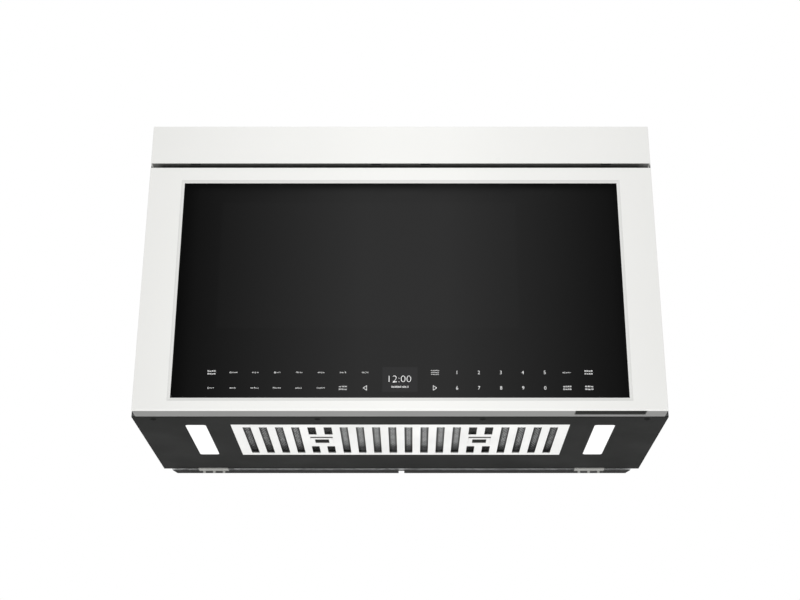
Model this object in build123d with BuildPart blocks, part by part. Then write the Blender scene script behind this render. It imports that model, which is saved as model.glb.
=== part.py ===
from build123d import *

import os
from math import cos, radians, tan

# Over the range microwave oven. Millimetres. X runs across, Y into the wall, Z up.
# The wall is the plane y = 0, the centre line is x = 0 and the cabinet's underside is z = 0.

os.makedirs("parts", exist_ok=True)

# ---------------------------------------------------------------- driving sizes
# Whole machine
width = 760.0                 # cabinet, side to side
height = 442.0                # underside to top
depth = 351.5                 # wall to the front of the door
wall_gap = 11.5               # wall to the rear edge of the cabinet

# Sheet metal and its fits
cabinet_sheet = 1.0
base_sheet = 1.2
face_sheet = 1.0
back_sheet = 1.0
fit = 0.2                     # between sheets that lie side by side
fold_radius = 2.5             # outside of folds
top_setback = 4.0             # top sheet behind the face plate's front
top_fold = 14.0               # side panels' fold under the top panel
base_flange = 14.0            # height of the base plate's edges
foot_flange = 22.0            # depth of the face plate's foot

# Vent panel and the louvre under it
vent_height = 61.6
vent_gap = 7.4                # door to vent panel
vent_skin = 1.5
louvre_thick = 2.0
louvre_band = 15.0            # plain band along the louvre's front
louvre_slots = 26
louvre_bar = 5.6              # between two slots
louvre_hem = 3.0              # behind the slots
clip_width = 16.0
clip_depth = 3.0
clip_inner_x = 38.0
clip_inset = 64.5             # outer clips from the panel's sides
vent_window_side = 40.0       # window in the face plate from the cabinet's sides
vent_window_edge = 12.0       # the same from its top and foot
charcoal_width = 300.0
charcoal_thick = 12.0
charcoal_lap = 2.5            # charcoal filter over the window's edge

# Door
door_side_gap = 6.0           # cabinet's side to the door's edge
door_thick = 33.0
door_gap = 3.0                # door to face plate
door_skin = 2.5               # front of the frame
door_wall = 2.0               # edges of the frame
door_edge = 0.8               # rounding of the frame's front edges
door_open_angle = 100.0       # degrees
door_back_sheet = 1.2
glass_side = 52.5             # door's edge to the glass that shows
glass_head = 24.8
glass_foot = 18.0
glass_thick = 4.0
glass_lap = 3.0               # glass behind the frame's lip
lip_width = 5.0               # sloping lip round the glass
lip_depth = 1.5
window_side = 12.0            # inner window's edge inside the oven mouth, at the sides
window_foot = 16.0            # the same below
window_head = 18.0            # the same above
window_thick = 3.0
choke_width = 22.0            # choke round the oven mouth
choke_depth = 12.0
choke_sheet = 0.8
choke_cover_thick = 2.0

# Touch controls, placed from the glass's lower edge
touch_side = 6.5              # glass's edge to the sensor strip
touch_lift = 4.0
touch_height = 48.0
touch_thick = 1.6
display_width = 58.0
display_height = 41.0
display_lift = 6.5
display_thick = 8.0

# Finger pull in the door's lower edge
pull_width = 98.0
pull_inset = 78.8             # its middle from the door's right edge
pull_from_front = 4.8
pull_reach = 16.8
pull_wall = 1.2
pull_clear = 0.6              # cup to the glass

# Door hinge
hinge_inset = 6.0             # pin axis from the door's side edge
hinge_height = 32.0           # arms from the door's lower and upper edges
arm_half = 7.0                # half the width of an arm
arm_thick = 3.0
arm_clear = 0.6
pin_radius = 3.0
pin_half = 12.0
running = 0.05                # radial clearance of pins and shafts
leaf_thick = 2.0
leaf_height = 40.0
block_half = 14.0             # half the height of a hinge block
block_web = 3.4               # hinge block beyond the slot

# Door latch
latch_inset = 38.0            # hooks from the door's right edge
latch_height = 90.0           # lower hook's middle above the underside
latch_spacing = 180.0         # between the hooks
latch_travel = 4.0
hook_half = 2.5
hook_height = 8.0
hook_drop = 4.0
hook_nose = 6.0
hook_reach = 25.0             # hook past the door's back
hook_clear = 2.0              # hook to the sides and foot of its slot
hook_rise = 1.5               # hook at its highest to the slot's head
lever_side = 8.0
lever_clear = 1.8             # lever to the door's back sheet
lever_rise = 16.0             # lever above the upper hook
catch_clear = 0.5
catch_thick = 5.0
catch_inset = 3.0             # catch from the face plate
catch_space = 2.0             # catch to the hook's nose
board_wall_thick = 3.0
board_wall_space = 2.0        # hook slot to the latch board's wall
board_past_hook = 12.0        # latch board behind the hooks' tips
board_above_hook = 32.0
switch_height = 20.0
switch_depth = 10.0
switch_space = 2.0            # hook's tip to the switch
plunger_radius = 1.0
plunger_length = 1.0
spring_wire = 0.5
spring_radius = 3.0
spring_turns = 7
spring_step = 3.0             # from turn to turn
spring_seat = 2.4

# Oven
oven_left_room = 105.0        # cabinet's side to the oven
bay_width = 200.0             # the same on the right, for the power parts
oven_rear_room = 15.0         # oven to the back panel
oven_head = 38.0              # oven's roof below the door's top
cavity_floor = 105.0          # top of the ceramic floor
cavity_sheet = 0.8
cavity_flange = 12.0
ceramic_thick = 4.0
well_width = 260.0
well_length = 220.0
well_depth = 14.0
oven_lamp_from_face = 70.0
oven_lamp_below_roof = 40.0
lamp_holder_side = 30.0
lamp_holder_depth = 16.0
bulb_radius = 10.0
cutout_radius = 8.0
cutout_height = 9.0
cutout_from_face = 32.0       # cut-out on the roof
cutout_from_rear = 32.0       # second cut-out on the wall

# Stirrer under the floor and the waveguide that feeds it
stirrer_radius = 88.0
stirrer_sheet = 1.2
stirrer_lift = 5.0
stirrer_shaft = 4.0
stirrer_slots = 3
stirrer_slot_from_axis = 53.0
stirrer_slot_length = 44.0
stirrer_slot_width = 14.0
stirrer_notch_length = 62.0
stirrer_notch_width = 44.0
shaft_hole = 9.0
guide_width = 90.0
guide_height = 24.0
guide_sheet = 1.0
guide_left = 45.0             # waveguide past the stirrer's axis
stirrer_motor_radius = 24.0
stirrer_motor_height = 22.0
stirrer_ear_half = 34.0
stirrer_ear_width = 15.0
shaft_seat = 9.0

# Component bay, placed from the cabinet's right side and the face plate
bay_gap = 10.0                # oven to shelf
shelf_sheet = 1.2
shelf_flange = 14.0
magnetron_inset = 118.0
magnetron_width = 95.0
magnetron_length = 80.0
magnetron_height = 62.0
magnetron_fins = 7
fin_thick = 0.8
fin_inset = 4.0               # fins inside the yoke's open sides
yoke_sheet = 1.5
anode_radius = 20.0
filter_box_side = 8.0         # magnetron's ends to its filter box
filter_box_edge = 10.0
filter_box_height = 32.0
antenna_radius = 8.0
antenna_length = 18.0
antenna_clear = 1.0
transformer_inset = 121.0
transformer_front = 10.0      # face plate to transformer
transformer_rear = 8.0        # transformer to magnetron
transformer_width = 96.0
transformer_length = 76.0
transformer_height = 80.0
core_length = 38.0            # laminated core, the windings stand out in front and behind
winding_width = 61.0
winding_height = 58.0
winding_corner = 8.0
capacitor_inset = 35.0
capacitor_from_face = 74.5
capacitor_width = 32.0
capacitor_length = 52.0
capacitor_height = 92.0
blade_spread = 20.0
blade_width = 6.0
blade_thick = 1.0
blade_height = 10.0

# Cooling fan behind the magnetron
fan_radius = 48.0
fan_width = 16.0
fan_rise = 77.8               # fan's axis above the shelf
fan_from_back = 60.0
fan_blades = 5
fan_blade_width = 20.0
fan_blade_thick = 1.6
fan_blade_twist = 28.0        # degrees
hub_radius = 15.0
hub_wall = 3.0
shroud_side = 116.0
shroud_clear = 2.5
post_width = 5.0
post_length = 14.0
post_height = 12.0
post_gap = 2.0                # throat to post
strap_sheet = 2.0
fan_motor_radius = 22.0
fan_motor_length = 24.0
fan_motor_gap = 4.0           # shroud to motor
fan_shaft_length = 10.0       # shaft behind the shroud
motor_shaft = 4.0             # radius, on the fans and the blower

# Power board on the right side panel
power_board_gap = 8.5         # behind the latch board
power_board_lift = 127.8      # above the shelf
board_length = 200.0
board_height = 150.0
board_thick = 1.6
board_standoff = 14.0
standoff_radius = 3.0
standoff_inset = 8.0
relay_columns = 4
relay_rows = 2
relay_step_y = 28.0
relay_step_z = 26.0
relay_long = 20.0
relay_high = 16.0
relay_deep = 16.0
relays_from_front = 72.0
relays_from_foot = 105.0
board_cans = 4
can_step = 34.0
can_radius = 9.0
can_length = 22.0
can_from_front = 24.0
can_from_foot = 28.0
sink_length = 32.0
sink_depth = 26.0
sink_rear = 12.0
sink_foot = 20.0
sink_head = 24.0

# Convection unit on the oven's left wall
convection_side = 190.0
convection_depth = 30.0
convection_fan_radius = 58.0
convection_blades = 10
convection_opening = 32.0     # radius of the slotted patch in the oven's wall
convection_motor_radius = 27.0
convection_motor_length = 40.0
vane_slots = 9
vane_width = 14.0
vane_length = 35.0
vane_from_axis = 38.0
disc_sheet = 1.0
disc_gap = 5.0                # housing to disc
hub_length = 6.0
convection_shaft_seat = 14.0
shaft_clear = 1.0
heater_radius = 78.0
heater_wire = 3.2
tail_gap = 12.0

# Exhaust adapter and its flap
collar_wall = 1.6
collar_width = 254.0
collar_depth = 83.0
collar_height = 26.0
adapter_flange = 16.0
adapter_sheet = 1.2
flap_sheet = 1.0
flap_clear = 0.5
flap_pin = 2.0
flap_height = 12.0            # flap above the machine's top
flap_edge = 3.0               # flap's axis from its rear edge

# Vent blower on top of the oven
blower_from_wall = 110.0
wheel_radius = 38.0
wheel_width = 80.0
wheel_gap = 35.0              # middle of the machine to a wheel
wheel_blades = 24
ring_width = 2.0
ring_depth = 8.0              # radial width of a wheel's open end ring
cage_depth = 4.0              # blades' middle inside the wheel's rim
wheel_blade_width = 7.0
wheel_blade_thick = 1.0
wheel_blade_twist = 35.0      # degrees
blower_sheet = 1.0
scroll_gap = 8.0              # wheel to housing
outlet_lap = 0.4              # collar's inside to the outlet's edge
inlet_radius = 30.0
blower_motor_radius = 32.0
blower_motor_half = 29.0
motor_foot_gap = 3.0          # motor's foot to the housing's rounding

# Fasteners to the kitchen cabinet above
bolt_spread = 580.0
bolt_from_wall = 200.0
nut_hole = 3.0                # tapped through the nut and the top sheet
nut_radius = 7.0
nut_height = 6.0
bushing_inset = 50.0
bushing_from_wall = 45.0
bushing_radius = 12.0
bushing_bore = 6.0
bushing_collar = 2.0
bushing_depth = 3.0           # below the top sheet

# Underside: filter cover, lamps and screws
cover_width = 488.8
cover_length = 173.4
cover_front = 76.6            # from the door's front
cover_clear = 0.6
cover_rim = 8.0
slot_side = 15.44             # cover's sides to the outer slots
slot_end = 12.4               # cover's ends to the slots, taken evenly
slots_back = 1.8              # middle of the slots behind the cover's middle
cover_sheet = 0.8
slot_width = 11.8
slot_columns = 20
slot_bridge = 11.5            # short slots to the latch opening
handle_column = 5             # slot gap, from the middle, that holds a latch
mesh_thick = 8.0
mesh_lift = 4.0
mesh_margin = 3.0
tongue_width = 30.0
tongue_reach = 7.0
tongue_x = 165.0
lamp_gap = 36.2               # filter cover to lamp
lamp_width = 29.2
lamp_length = 169.0
lamp_front = 78.5             # from the door's front
lamp_corner = 4.0
lamp_tub = 12.0
lamp_wall = 1.5
lamp_leds = 6
led_side = 3.5
lamp_board_thick = 1.6

# Filter latches
grip_width = 33.4             # opening in the cover
grip_length = 43.4
grip_travel = 7.0
grip_spare = 1.6              # latch at its limit to the opening's front edge
slider_lap = 2.4
slider_thick = 2.0
slider_rise = 0.6             # bar's slot above the bar
pocket_width = 20.9
pocket_length = 21.6
pocket_deep = 11.0
pocket_wall = 1.4
bolt_bar = 8.0

# Screws
screw_radius = 4.0
screw_shank = 1.9
screw_head = 1.6
screw_length = 7.0
screw_from_face = 12.0
screw_inner_x = 117.6
screw_inset = 29.0            # outer screws from the cabinet's sides
cross_slot = 0.9
back_screw_height = 8.0
back_screw_inner_x = 150.5
back_screw_inset = 40.0

# Wall plate and support tabs
plate_sheet = 1.5
plate_inset = 12.0            # plate's sides from the cabinet's
plate_top = 300.0
plate_drop = 4.5              # lower edge below the cabinet
plate_corner = 8.0
notch_width = 9.0
notch_rise = 3.7
stud_spacing = 406.4
wall_bolt_low = 60.0
wall_bolt_rise = 200.0
wall_bolt_hole = 4.0
plate_window = 150.0
plate_window_step = 250.0
plate_window_height = 130.0
tab_inset = 67.0              # tab's middle from the plate's sides
tab_width = 47.0
tab_reach = 17.0
tab_sheet = 1.5
tab_prong = 4.0
tab_prongs = 3

# ---------------------------------------------------------------- derived places
half_width = width / 2
inner_x = half_width - cabinet_sheet
panel_x = inner_x - fit
door_front = -depth
door_back = door_front + door_thick
face_front = door_back + door_gap
top_front = face_front + top_setback
face_back = face_front + face_sheet
rear = -wall_gap
back_front = rear - back_sheet
base_rear = back_front - fit
under_top = height - cabinet_sheet
fold_low = under_top - cabinet_sheet
fold_edge = inner_x - top_fold - fit
fold_corners = [(-panel_x, -fold_edge), (fold_edge, panel_x)]

door_half = half_width - door_side_gap
door_height = height - vent_height - vent_gap
panel_bottom = door_height + vent_gap
vent_window_half = half_width - vent_window_side

cavity_left = oven_left_room - half_width
cavity_right = half_width - bay_width
cavity_x = (cavity_left + cavity_right) / 2
cavity_top = door_height - oven_head
cavity_rear = back_front - oven_rear_room
cavity_y = (face_back + cavity_rear) / 2
cavity_z = (cavity_floor + cavity_top) / 2
outer_left = cavity_left - cavity_sheet
outer_right = cavity_right + cavity_sheet
ledge = cavity_floor - ceramic_thick
well_floor = ledge - well_depth
roof = cavity_top + cavity_sheet

window_left = cavity_left + window_side
window_right = cavity_right - window_side
window_low = cavity_floor + window_foot
window_high = cavity_top - window_head
choke_left = cavity_left - choke_width
choke_right = cavity_right + choke_width
choke_low = cavity_floor - choke_width
choke_high = cavity_top + choke_width

glass_half = door_half - glass_side
glass_top = door_height - glass_head
glass_z = (glass_foot + glass_top) / 2
glass_front = door_front + door_skin
glass_back = glass_front + glass_thick
back_sheet_front = door_back - door_back_sheet
touch_half = glass_half - touch_side
touch_bottom = glass_foot + touch_lift
display_bottom = glass_foot + display_lift
pull_x = door_half - pull_inset
pull_front = door_front + pull_from_front
pull_rear = pull_front + pull_reach
pull_deep = glass_foot - glass_lap - pull_wall - pull_clear

pin_x = hinge_inset - door_half
pin_y = door_front + door_thick / 2
arm_levels = [hinge_height, door_height - hinge_height]
lean = radians(door_open_angle - 90)
relief_front = pin_y - arm_half / cos(lean) - hinge_inset * tan(lean) - arm_clear
relief_right = pin_x + arm_half + arm_clear

latch_x = door_half - latch_inset
hook_levels = [latch_height, latch_height + latch_spacing]
hook_tip = door_back + hook_reach
hook_slot_half = hook_half + hook_clear
hook_slot_low = hook_height / 2 + hook_drop + hook_clear
hook_slot_high = hook_height / 2 + latch_travel + hook_rise
lever_back = back_sheet_front - lever_clear
lever_front = lever_back - lever_side
lever_top = hook_levels[-1] + lever_rise
lever_foot = hook_levels[0] - hook_height / 2
spring_length = spring_turns * spring_step
spring_top = lever_top + spring_length + 2 * spring_wire
latch_board_rear = hook_tip + board_past_hook

duct_bottom = well_floor - cavity_sheet
guide_bottom = duct_bottom - guide_height
shelf_left = cavity_right + bay_gap
transformer_x = half_width - transformer_inset
transformer_y = face_back + transformer_front + transformer_length / 2
magnetron_x = half_width - magnetron_inset
magnetron_y = transformer_y + (transformer_length + magnetron_width) / 2 + transformer_rear
capacitor_x = half_width - capacitor_inset
capacitor_y = face_back + capacitor_from_face
fan_y = back_front - fan_from_back
fan_z = guide_bottom + fan_rise
board_bottom = guide_bottom + power_board_lift

cover_front_y = door_front + cover_front
cover_rear_y = cover_front_y + cover_length
cover_y = (cover_front_y + cover_rear_y) / 2
slots_y = cover_y + slots_back
slot_pitch = (cover_width - 2 * slot_side - slot_width) / (slot_columns - 1)
slot_length = cover_length - 2 * slot_end
short_slot = (cover_length - grip_length) / 2 - slot_end - slot_bridge
handle_x = handle_column * slot_pitch
slider_rear = slots_y + grip_length / 2 - fit
slider_front = slots_y - grip_length / 2 + grip_travel + grip_spare
pocket_y = (slider_front + slider_rear) / 2
lamp_x = cover_width / 2 + lamp_gap + lamp_width / 2
lamp_y = door_front + lamp_front + lamp_length / 2
screw_y = face_front + screw_from_face
screw_outer_x = half_width - screw_inset
screw_places = [(side * x, screw_y) for side in (-1, 1) for x in (screw_inner_x, screw_outer_x)]
back_screw_outer_x = half_width - back_screw_inset
back_screw_xs = [side * x for side in (-1, 1) for x in (back_screw_inner_x, back_screw_outer_x)]

plate_half = half_width - plate_inset
tab_x = plate_half - tab_inset
bushing_x = half_width - bushing_inset
bolt_places = [(-bolt_spread / 2, -bolt_from_wall), (bolt_spread / 2, -bolt_from_wall)]

outlet_width = collar_width - 2 * collar_wall - 2 * outlet_lap
outlet_depth = collar_depth - 2 * collar_wall - 2 * outlet_lap
blower_y = -blower_from_wall
scroll_radius = wheel_radius + scroll_gap
blower_z = roof + blower_sheet + scroll_radius
outlet_y = blower_y - scroll_radius + outlet_depth / 2


# ---------------------------------------------------------------- shapes used often
def block(x0, x1, y0, y1, z0, z1, mode=Mode.ADD):
    """Block between two opposite corners."""
    with Locations(((x0 + x1) / 2, (y0 + y1) / 2, (z0 + z1) / 2)):
        Box(x1 - x0, y1 - y0, z1 - z0, mode=mode)


def upright(x, y, z0, z1, radius, mode=Mode.ADD):
    """Cylinder that stands along Z between two heights."""
    with Locations((x, y, (z0 + z1) / 2)):
        Cylinder(radius, z1 - z0, mode=mode)


def along_x(y, z, x0, x1, radius, mode=Mode.ADD):
    """Cylinder that lies along X between two places."""
    with Locations(((x0 + x1) / 2, y, z)):
        Cylinder(radius, abs(x1 - x0), rotation=(0, 90, 0), mode=mode)


def along_y(x, z, y0, y1, radius, mode=Mode.ADD):
    """Cylinder that lies along Y between two places."""
    with Locations((x, (y0 + y1) / 2, z)):
        Cylinder(radius, y1 - y0, rotation=(90, 0, 0), mode=mode)


def pan(x0, x1, y0, y1, z0, z1, wall):
    """Tray with a floor and four walls, open at the top."""
    block(x0, x1, y0, y1, z0, z1)
    block(x0 + wall, x1 - wall, y0 + wall, y1 - wall, z0 + wall, z1, mode=Mode.SUBTRACT)


# ---------------------------------------------------------------- cabinet
# Side panels: painted sheets, each with a fold along its top that carries the top panel.
with BuildPart() as side_panels:
    block(inner_x, half_width, face_front, rear, 0, under_top)
    block(inner_x - top_fold, half_width, face_front, rear, fold_low, under_top)
    fillet(side_panels.edges().filter_by(Axis.Y).group_by(Axis.X)[-1].sort_by(Axis.Z)[-1], fold_radius)
    mirror(about=Plane.YZ)
side_panels.part.label = "side_panels"
export_step(side_panels.part, "parts/side_panels.step")

# Top panel: flat sheet with the blower's outlet, the bolt holes and the cord's hole.
with BuildPart() as top_panel:
    with BuildSketch(Plane.XY.offset(under_top)):
        with Locations((0, (top_front + rear) / 2)):
            Rectangle(2 * (half_width - fold_radius), rear - top_front)
        with Locations((0, outlet_y)):
            Rectangle(outlet_width, outlet_depth, mode=Mode.SUBTRACT)
        with Locations(bolt_places):
            Circle(nut_hole, mode=Mode.SUBTRACT)
        with Locations((bushing_x, -bushing_from_wall)):
            Circle(bushing_radius, mode=Mode.SUBTRACT)
    extrude(amount=cabinet_sheet)
top_panel.part.label = "top_panel"
export_step(top_panel.part, "parts/top_panel.step")

# Base plate: the dark underside, with edges turned up between the side panels.
with BuildPart() as base_plate:
    pan(-panel_x, panel_x, face_front, base_rear, 0, base_flange, base_sheet)
    block(-panel_x, panel_x, face_front, face_back + fit, base_sheet, base_flange, mode=Mode.SUBTRACT)
    with BuildSketch():
        with Locations((0, cover_y)):
            Rectangle(cover_width + 2 * cover_clear, cover_length + 2 * cover_clear)
        with Locations((-lamp_x, lamp_y), (lamp_x, lamp_y)):
            RectangleRounded(lamp_width + 2 * fit, lamp_length + 2 * fit, lamp_corner + fit)
        with Locations(screw_places):
            Circle(screw_shank + fit)
    extrude(amount=base_sheet, mode=Mode.SUBTRACT)
base_plate.part.label = "base_plate"
export_step(base_plate.part, "parts/base_plate.step")

# Back panel: bare galvanised sheet with a foot turned towards the wall.
with BuildPart() as back_panel:
    block(-panel_x, panel_x, back_front, rear, 0, under_top - fit)
    for left, right in fold_corners:
        block(left, right, back_front, rear, fold_low - fit, under_top - fit, mode=Mode.SUBTRACT)
    block(-plate_half, plate_half, rear, -plate_sheet - fit, 0, back_sheet)
    with BuildSketch(Plane.XZ.offset(-rear)):
        with Locations([(x, back_screw_height) for x in back_screw_xs]):
            Circle(screw_shank + fit)
    extrude(amount=back_sheet, mode=Mode.SUBTRACT)
back_panel.part.label = "back_panel"
export_step(back_panel.part, "parts/back_panel.step")

# Face plate: the front wall round the oven mouth, with the vent window above the door.
foot_x = panel_x - base_sheet - fit
with BuildPart() as face_plate:
    block(-panel_x, panel_x, face_front, face_back, base_sheet, under_top - fit)
    for left, right in fold_corners:
        block(left, right, face_front, face_back, fold_low - fit, under_top - fit, mode=Mode.SUBTRACT)
    block(-foot_x, foot_x, face_front, face_front + foot_flange, base_sheet, base_sheet + face_sheet)
    block(cavity_left, cavity_right, face_front, face_back, ledge, cavity_top, mode=Mode.SUBTRACT)
    block(
        -vent_window_half, vent_window_half, face_front, face_back,
        panel_bottom + vent_window_edge, under_top - vent_window_edge, mode=Mode.SUBTRACT,
    )
    for level in hook_levels:
        block(
            latch_x - hook_slot_half, latch_x + hook_slot_half, face_front, face_back,
            level - hook_slot_low, level + hook_slot_high, mode=Mode.SUBTRACT,
        )
    for level in arm_levels:
        block(
            pin_x - arm_half - fit, pin_x + arm_half + fit, face_front, face_back,
            level - arm_thick / 2 - fit, level + arm_thick / 2 + fit, mode=Mode.SUBTRACT,
        )
    with BuildSketch(Plane.XY.offset(base_sheet)):
        with Locations(screw_places):
            Circle(screw_shank + fit)
    extrude(amount=face_sheet, mode=Mode.SUBTRACT)
face_plate.part.label = "face_plate"
export_step(face_plate.part, "parts/face_plate.step")

# Vent panel: white cap over the front of the vent chamber, open behind and below.
panel_rear = face_front - fit
with BuildPart() as vent_panel:
    block(-door_half, door_half, door_front, panel_rear, panel_bottom, height)
    block(
        vent_skin - door_half, door_half - vent_skin, door_front + vent_skin, panel_rear,
        panel_bottom, height - vent_skin, mode=Mode.SUBTRACT,
    )
    fillet(vent_panel.edges().filter_by(Axis.X).group_by(Axis.Y)[0].sort_by(Axis.Z)[-1], door_edge)
    fillet(vent_panel.edges().filter_by(Axis.Z).group_by(Axis.Y)[0], door_edge)
vent_panel.part.label = "vent_panel"
export_step(vent_panel.part, "parts/vent_panel.step")

# Vent louvre: dark plastic strip that closes the vent panel's underside.
louvre_half = door_half - vent_skin - fit
louvre_front = door_front + vent_skin + fit
louvre_low = panel_bottom + door_edge
louvre_pitch = 2 * louvre_half / (louvre_slots + 1)
louvre_slot_front = louvre_front + louvre_band
louvre_slot_length = panel_rear - louvre_slot_front - louvre_hem
clip_xs = [side * x for side in (-1, 1) for x in (clip_inner_x, door_half - clip_inset)]
with BuildPart() as vent_louvre:
    block(-louvre_half, louvre_half, louvre_front, panel_rear, louvre_low, louvre_low + louvre_thick)
    with BuildSketch(Plane.XY.offset(louvre_low)):
        with Locations((0, louvre_slot_front + louvre_slot_length / 2)):
            with GridLocations(louvre_pitch, 0, louvre_slots, 1):
                Rectangle(louvre_pitch - louvre_bar, louvre_slot_length)
        with Locations([(x, louvre_front + clip_depth) for x in clip_xs]):
            Rectangle(clip_width, clip_depth)
    extrude(amount=louvre_thick, mode=Mode.SUBTRACT)
vent_louvre.part.label = "vent_louvre"
export_step(vent_louvre.part, "parts/vent_louvre.step")

# Charcoal filter: a flat cartridge behind the vent window.
with BuildPart() as charcoal_filter:
    block(
        -charcoal_width / 2, charcoal_width / 2, face_back, face_back + charcoal_thick,
        panel_bottom + vent_window_edge - charcoal_lap, under_top - vent_window_edge + charcoal_lap,
    )
    fillet(charcoal_filter.edges().filter_by(Axis.Y), fold_radius)
charcoal_filter.part.label = "charcoal_filter"
export_step(charcoal_filter.part, "parts/charcoal_filter.step")

# Nuts welded under the top for the bolts from the cabinet above.
with BuildPart() as cabinet_nuts:
    with BuildSketch(Plane.XY.offset(under_top - nut_height)):
        with Locations(bolt_places):
            RegularPolygon(nut_radius, 6)
            Circle(nut_hole, mode=Mode.SUBTRACT)
    extrude(amount=nut_height)
cabinet_nuts.part.label = "cabinet_nuts"
export_step(cabinet_nuts.part, "parts/cabinet_nuts.step")

# Bushing that lines the hole for the supply cord.
bushing_low = under_top - bushing_depth
bushing_top = height + bushing_collar
with BuildPart() as cord_bushing:
    upright(bushing_x, -bushing_from_wall, bushing_low, bushing_top, bushing_radius - fit)
    upright(bushing_x, -bushing_from_wall, height, bushing_top, bushing_radius + bushing_collar)
    upright(bushing_x, -bushing_from_wall, bushing_low, bushing_top, bushing_bore, mode=Mode.SUBTRACT)
cord_bushing.part.label = "cord_bushing"
export_step(cord_bushing.part, "parts/cord_bushing.step")


def cross_screw(x, y, z_head):
    """Pan-head screw that points up, its cross slot facing down."""
    upright(x, y, z_head - screw_head, z_head, screw_radius)
    upright(x, y, z_head, z_head + screw_length, screw_shank)
    slot_top = z_head - screw_head / 2
    block(
        x - screw_radius / 2, x + screw_radius / 2, y - cross_slot / 2, y + cross_slot / 2,
        z_head - screw_head, slot_top, mode=Mode.SUBTRACT,
    )
    block(
        x - cross_slot / 2, x + cross_slot / 2, y - screw_radius / 2, y + screw_radius / 2,
        z_head - screw_head, slot_top, mode=Mode.SUBTRACT,
    )


# Screws along the front of the base.
with BuildPart() as base_screws:
    for x in (-screw_outer_x, -screw_inner_x, screw_inner_x, screw_outer_x):
        cross_screw(x, screw_y, 0)
base_screws.part.label = "base_screws"
export_step(base_screws.part, "parts/base_screws.step")

# Screws through the back panel into the base plate's rear edge.
with BuildPart() as back_screws:
    for x in back_screw_xs:
        along_y(x, back_screw_height, rear, rear + screw_head, screw_radius)
        along_y(x, back_screw_height, back_front, rear, screw_shank)
back_screws.part.label = "back_screws"
export_step(back_screws.part, "parts/back_screws.step")

# ---------------------------------------------------------------- wall plate
# Wall plate: screwed to the studs. Its lower edge has the centre line notch.
with BuildPart() as wall_plate:
    with BuildSketch(Plane.XZ):
        with BuildLine():
            Polyline(
                (-plate_half, 0), (plate_corner - plate_half, -plate_drop),
                (-notch_width / 2, -plate_drop), (-notch_width / 2, notch_rise - plate_drop),
                (notch_width / 2, notch_rise - plate_drop), (notch_width / 2, -plate_drop),
                (plate_half - plate_corner, -plate_drop), (plate_half, 0),
                (plate_half, plate_top), (-plate_half, plate_top), close=True,
            )
        make_face()
        with Locations((0, wall_bolt_low + wall_bolt_rise / 2)):
            with GridLocations(stud_spacing, wall_bolt_rise, 2, 2):
                Circle(wall_bolt_hole, mode=Mode.SUBTRACT)
            with GridLocations(plate_window_step, 0, 3, 1):
                Rectangle(plate_window, plate_window_height, mode=Mode.SUBTRACT)
    extrude(amount=plate_sheet)
    block(-plate_half, plate_half, rear, 0, plate_top - plate_sheet, plate_top)
wall_plate.part.label = "wall_plate"
export_step(wall_plate.part, "parts/wall_plate.step")

# Support tabs: bright brackets on the wall plate that carry the base plate's rear edge.
with BuildPart() as support_tabs:
    for x in (-tab_x, tab_x):
        left = x - tab_width / 2
        block(left, left + tab_width, -tab_reach, -plate_sheet, -tab_sheet, 0)
        for place in range(tab_prongs):
            prong = left + (place + 0.5) * tab_width / tab_prongs - tab_prong / 2
            block(
                prong, prong + tab_prong, -plate_sheet - tab_sheet, -plate_sheet,
                -plate_drop, -tab_sheet,
            )
support_tabs.part.label = "support_tabs"
export_step(support_tabs.part, "parts/support_tabs.step")

# ---------------------------------------------------------------- lamps
# Lamp lenses: frosted tubs that drop into the base plate, with a lip above it.
with BuildPart() as lamp_lenses:
    for x in (-lamp_x, lamp_x):
        with BuildSketch():
            with Locations((x, lamp_y)):
                RectangleRounded(lamp_width, lamp_length, lamp_corner)
        extrude(amount=lamp_tub)
        with BuildSketch(Plane.XY.offset(base_sheet)):
            with Locations((x, lamp_y)):
                RectangleRounded(
                    lamp_width + 2 * lamp_wall, lamp_length + 2 * lamp_wall, lamp_corner + lamp_wall,
                )
        extrude(amount=lamp_wall)
        with BuildSketch(Plane.XY.offset(lamp_wall)):
            with Locations((x, lamp_y)):
                RectangleRounded(
                    lamp_width - 2 * lamp_wall, lamp_length - 2 * lamp_wall, lamp_corner - lamp_wall,
                )
        extrude(amount=lamp_tub - lamp_wall, mode=Mode.SUBTRACT)
lamp_lenses.part.label = "lamp_lenses"
export_step(lamp_lenses.part, "parts/lamp_lenses.step")

# Lamp boards: strips of light sources that lie on the tubs.
with BuildPart() as lamp_boards:
    for x in (-lamp_x, lamp_x):
        with BuildSketch(Plane.XY.offset(lamp_tub)):
            with Locations((x, lamp_y)):
                Rectangle(lamp_width, lamp_length)
        extrude(amount=lamp_board_thick)
        with BuildSketch(Plane.XY.offset(lamp_tub)):
            with Locations((x, lamp_y)):
                with GridLocations(0, lamp_length / lamp_leds, 1, lamp_leds):
                    Rectangle(led_side, led_side)
        extrude(amount=-lamp_wall)
lamp_boards.part.label = "lamp_boards"
export_step(lamp_boards.part, "parts/lamp_boards.step")

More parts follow.
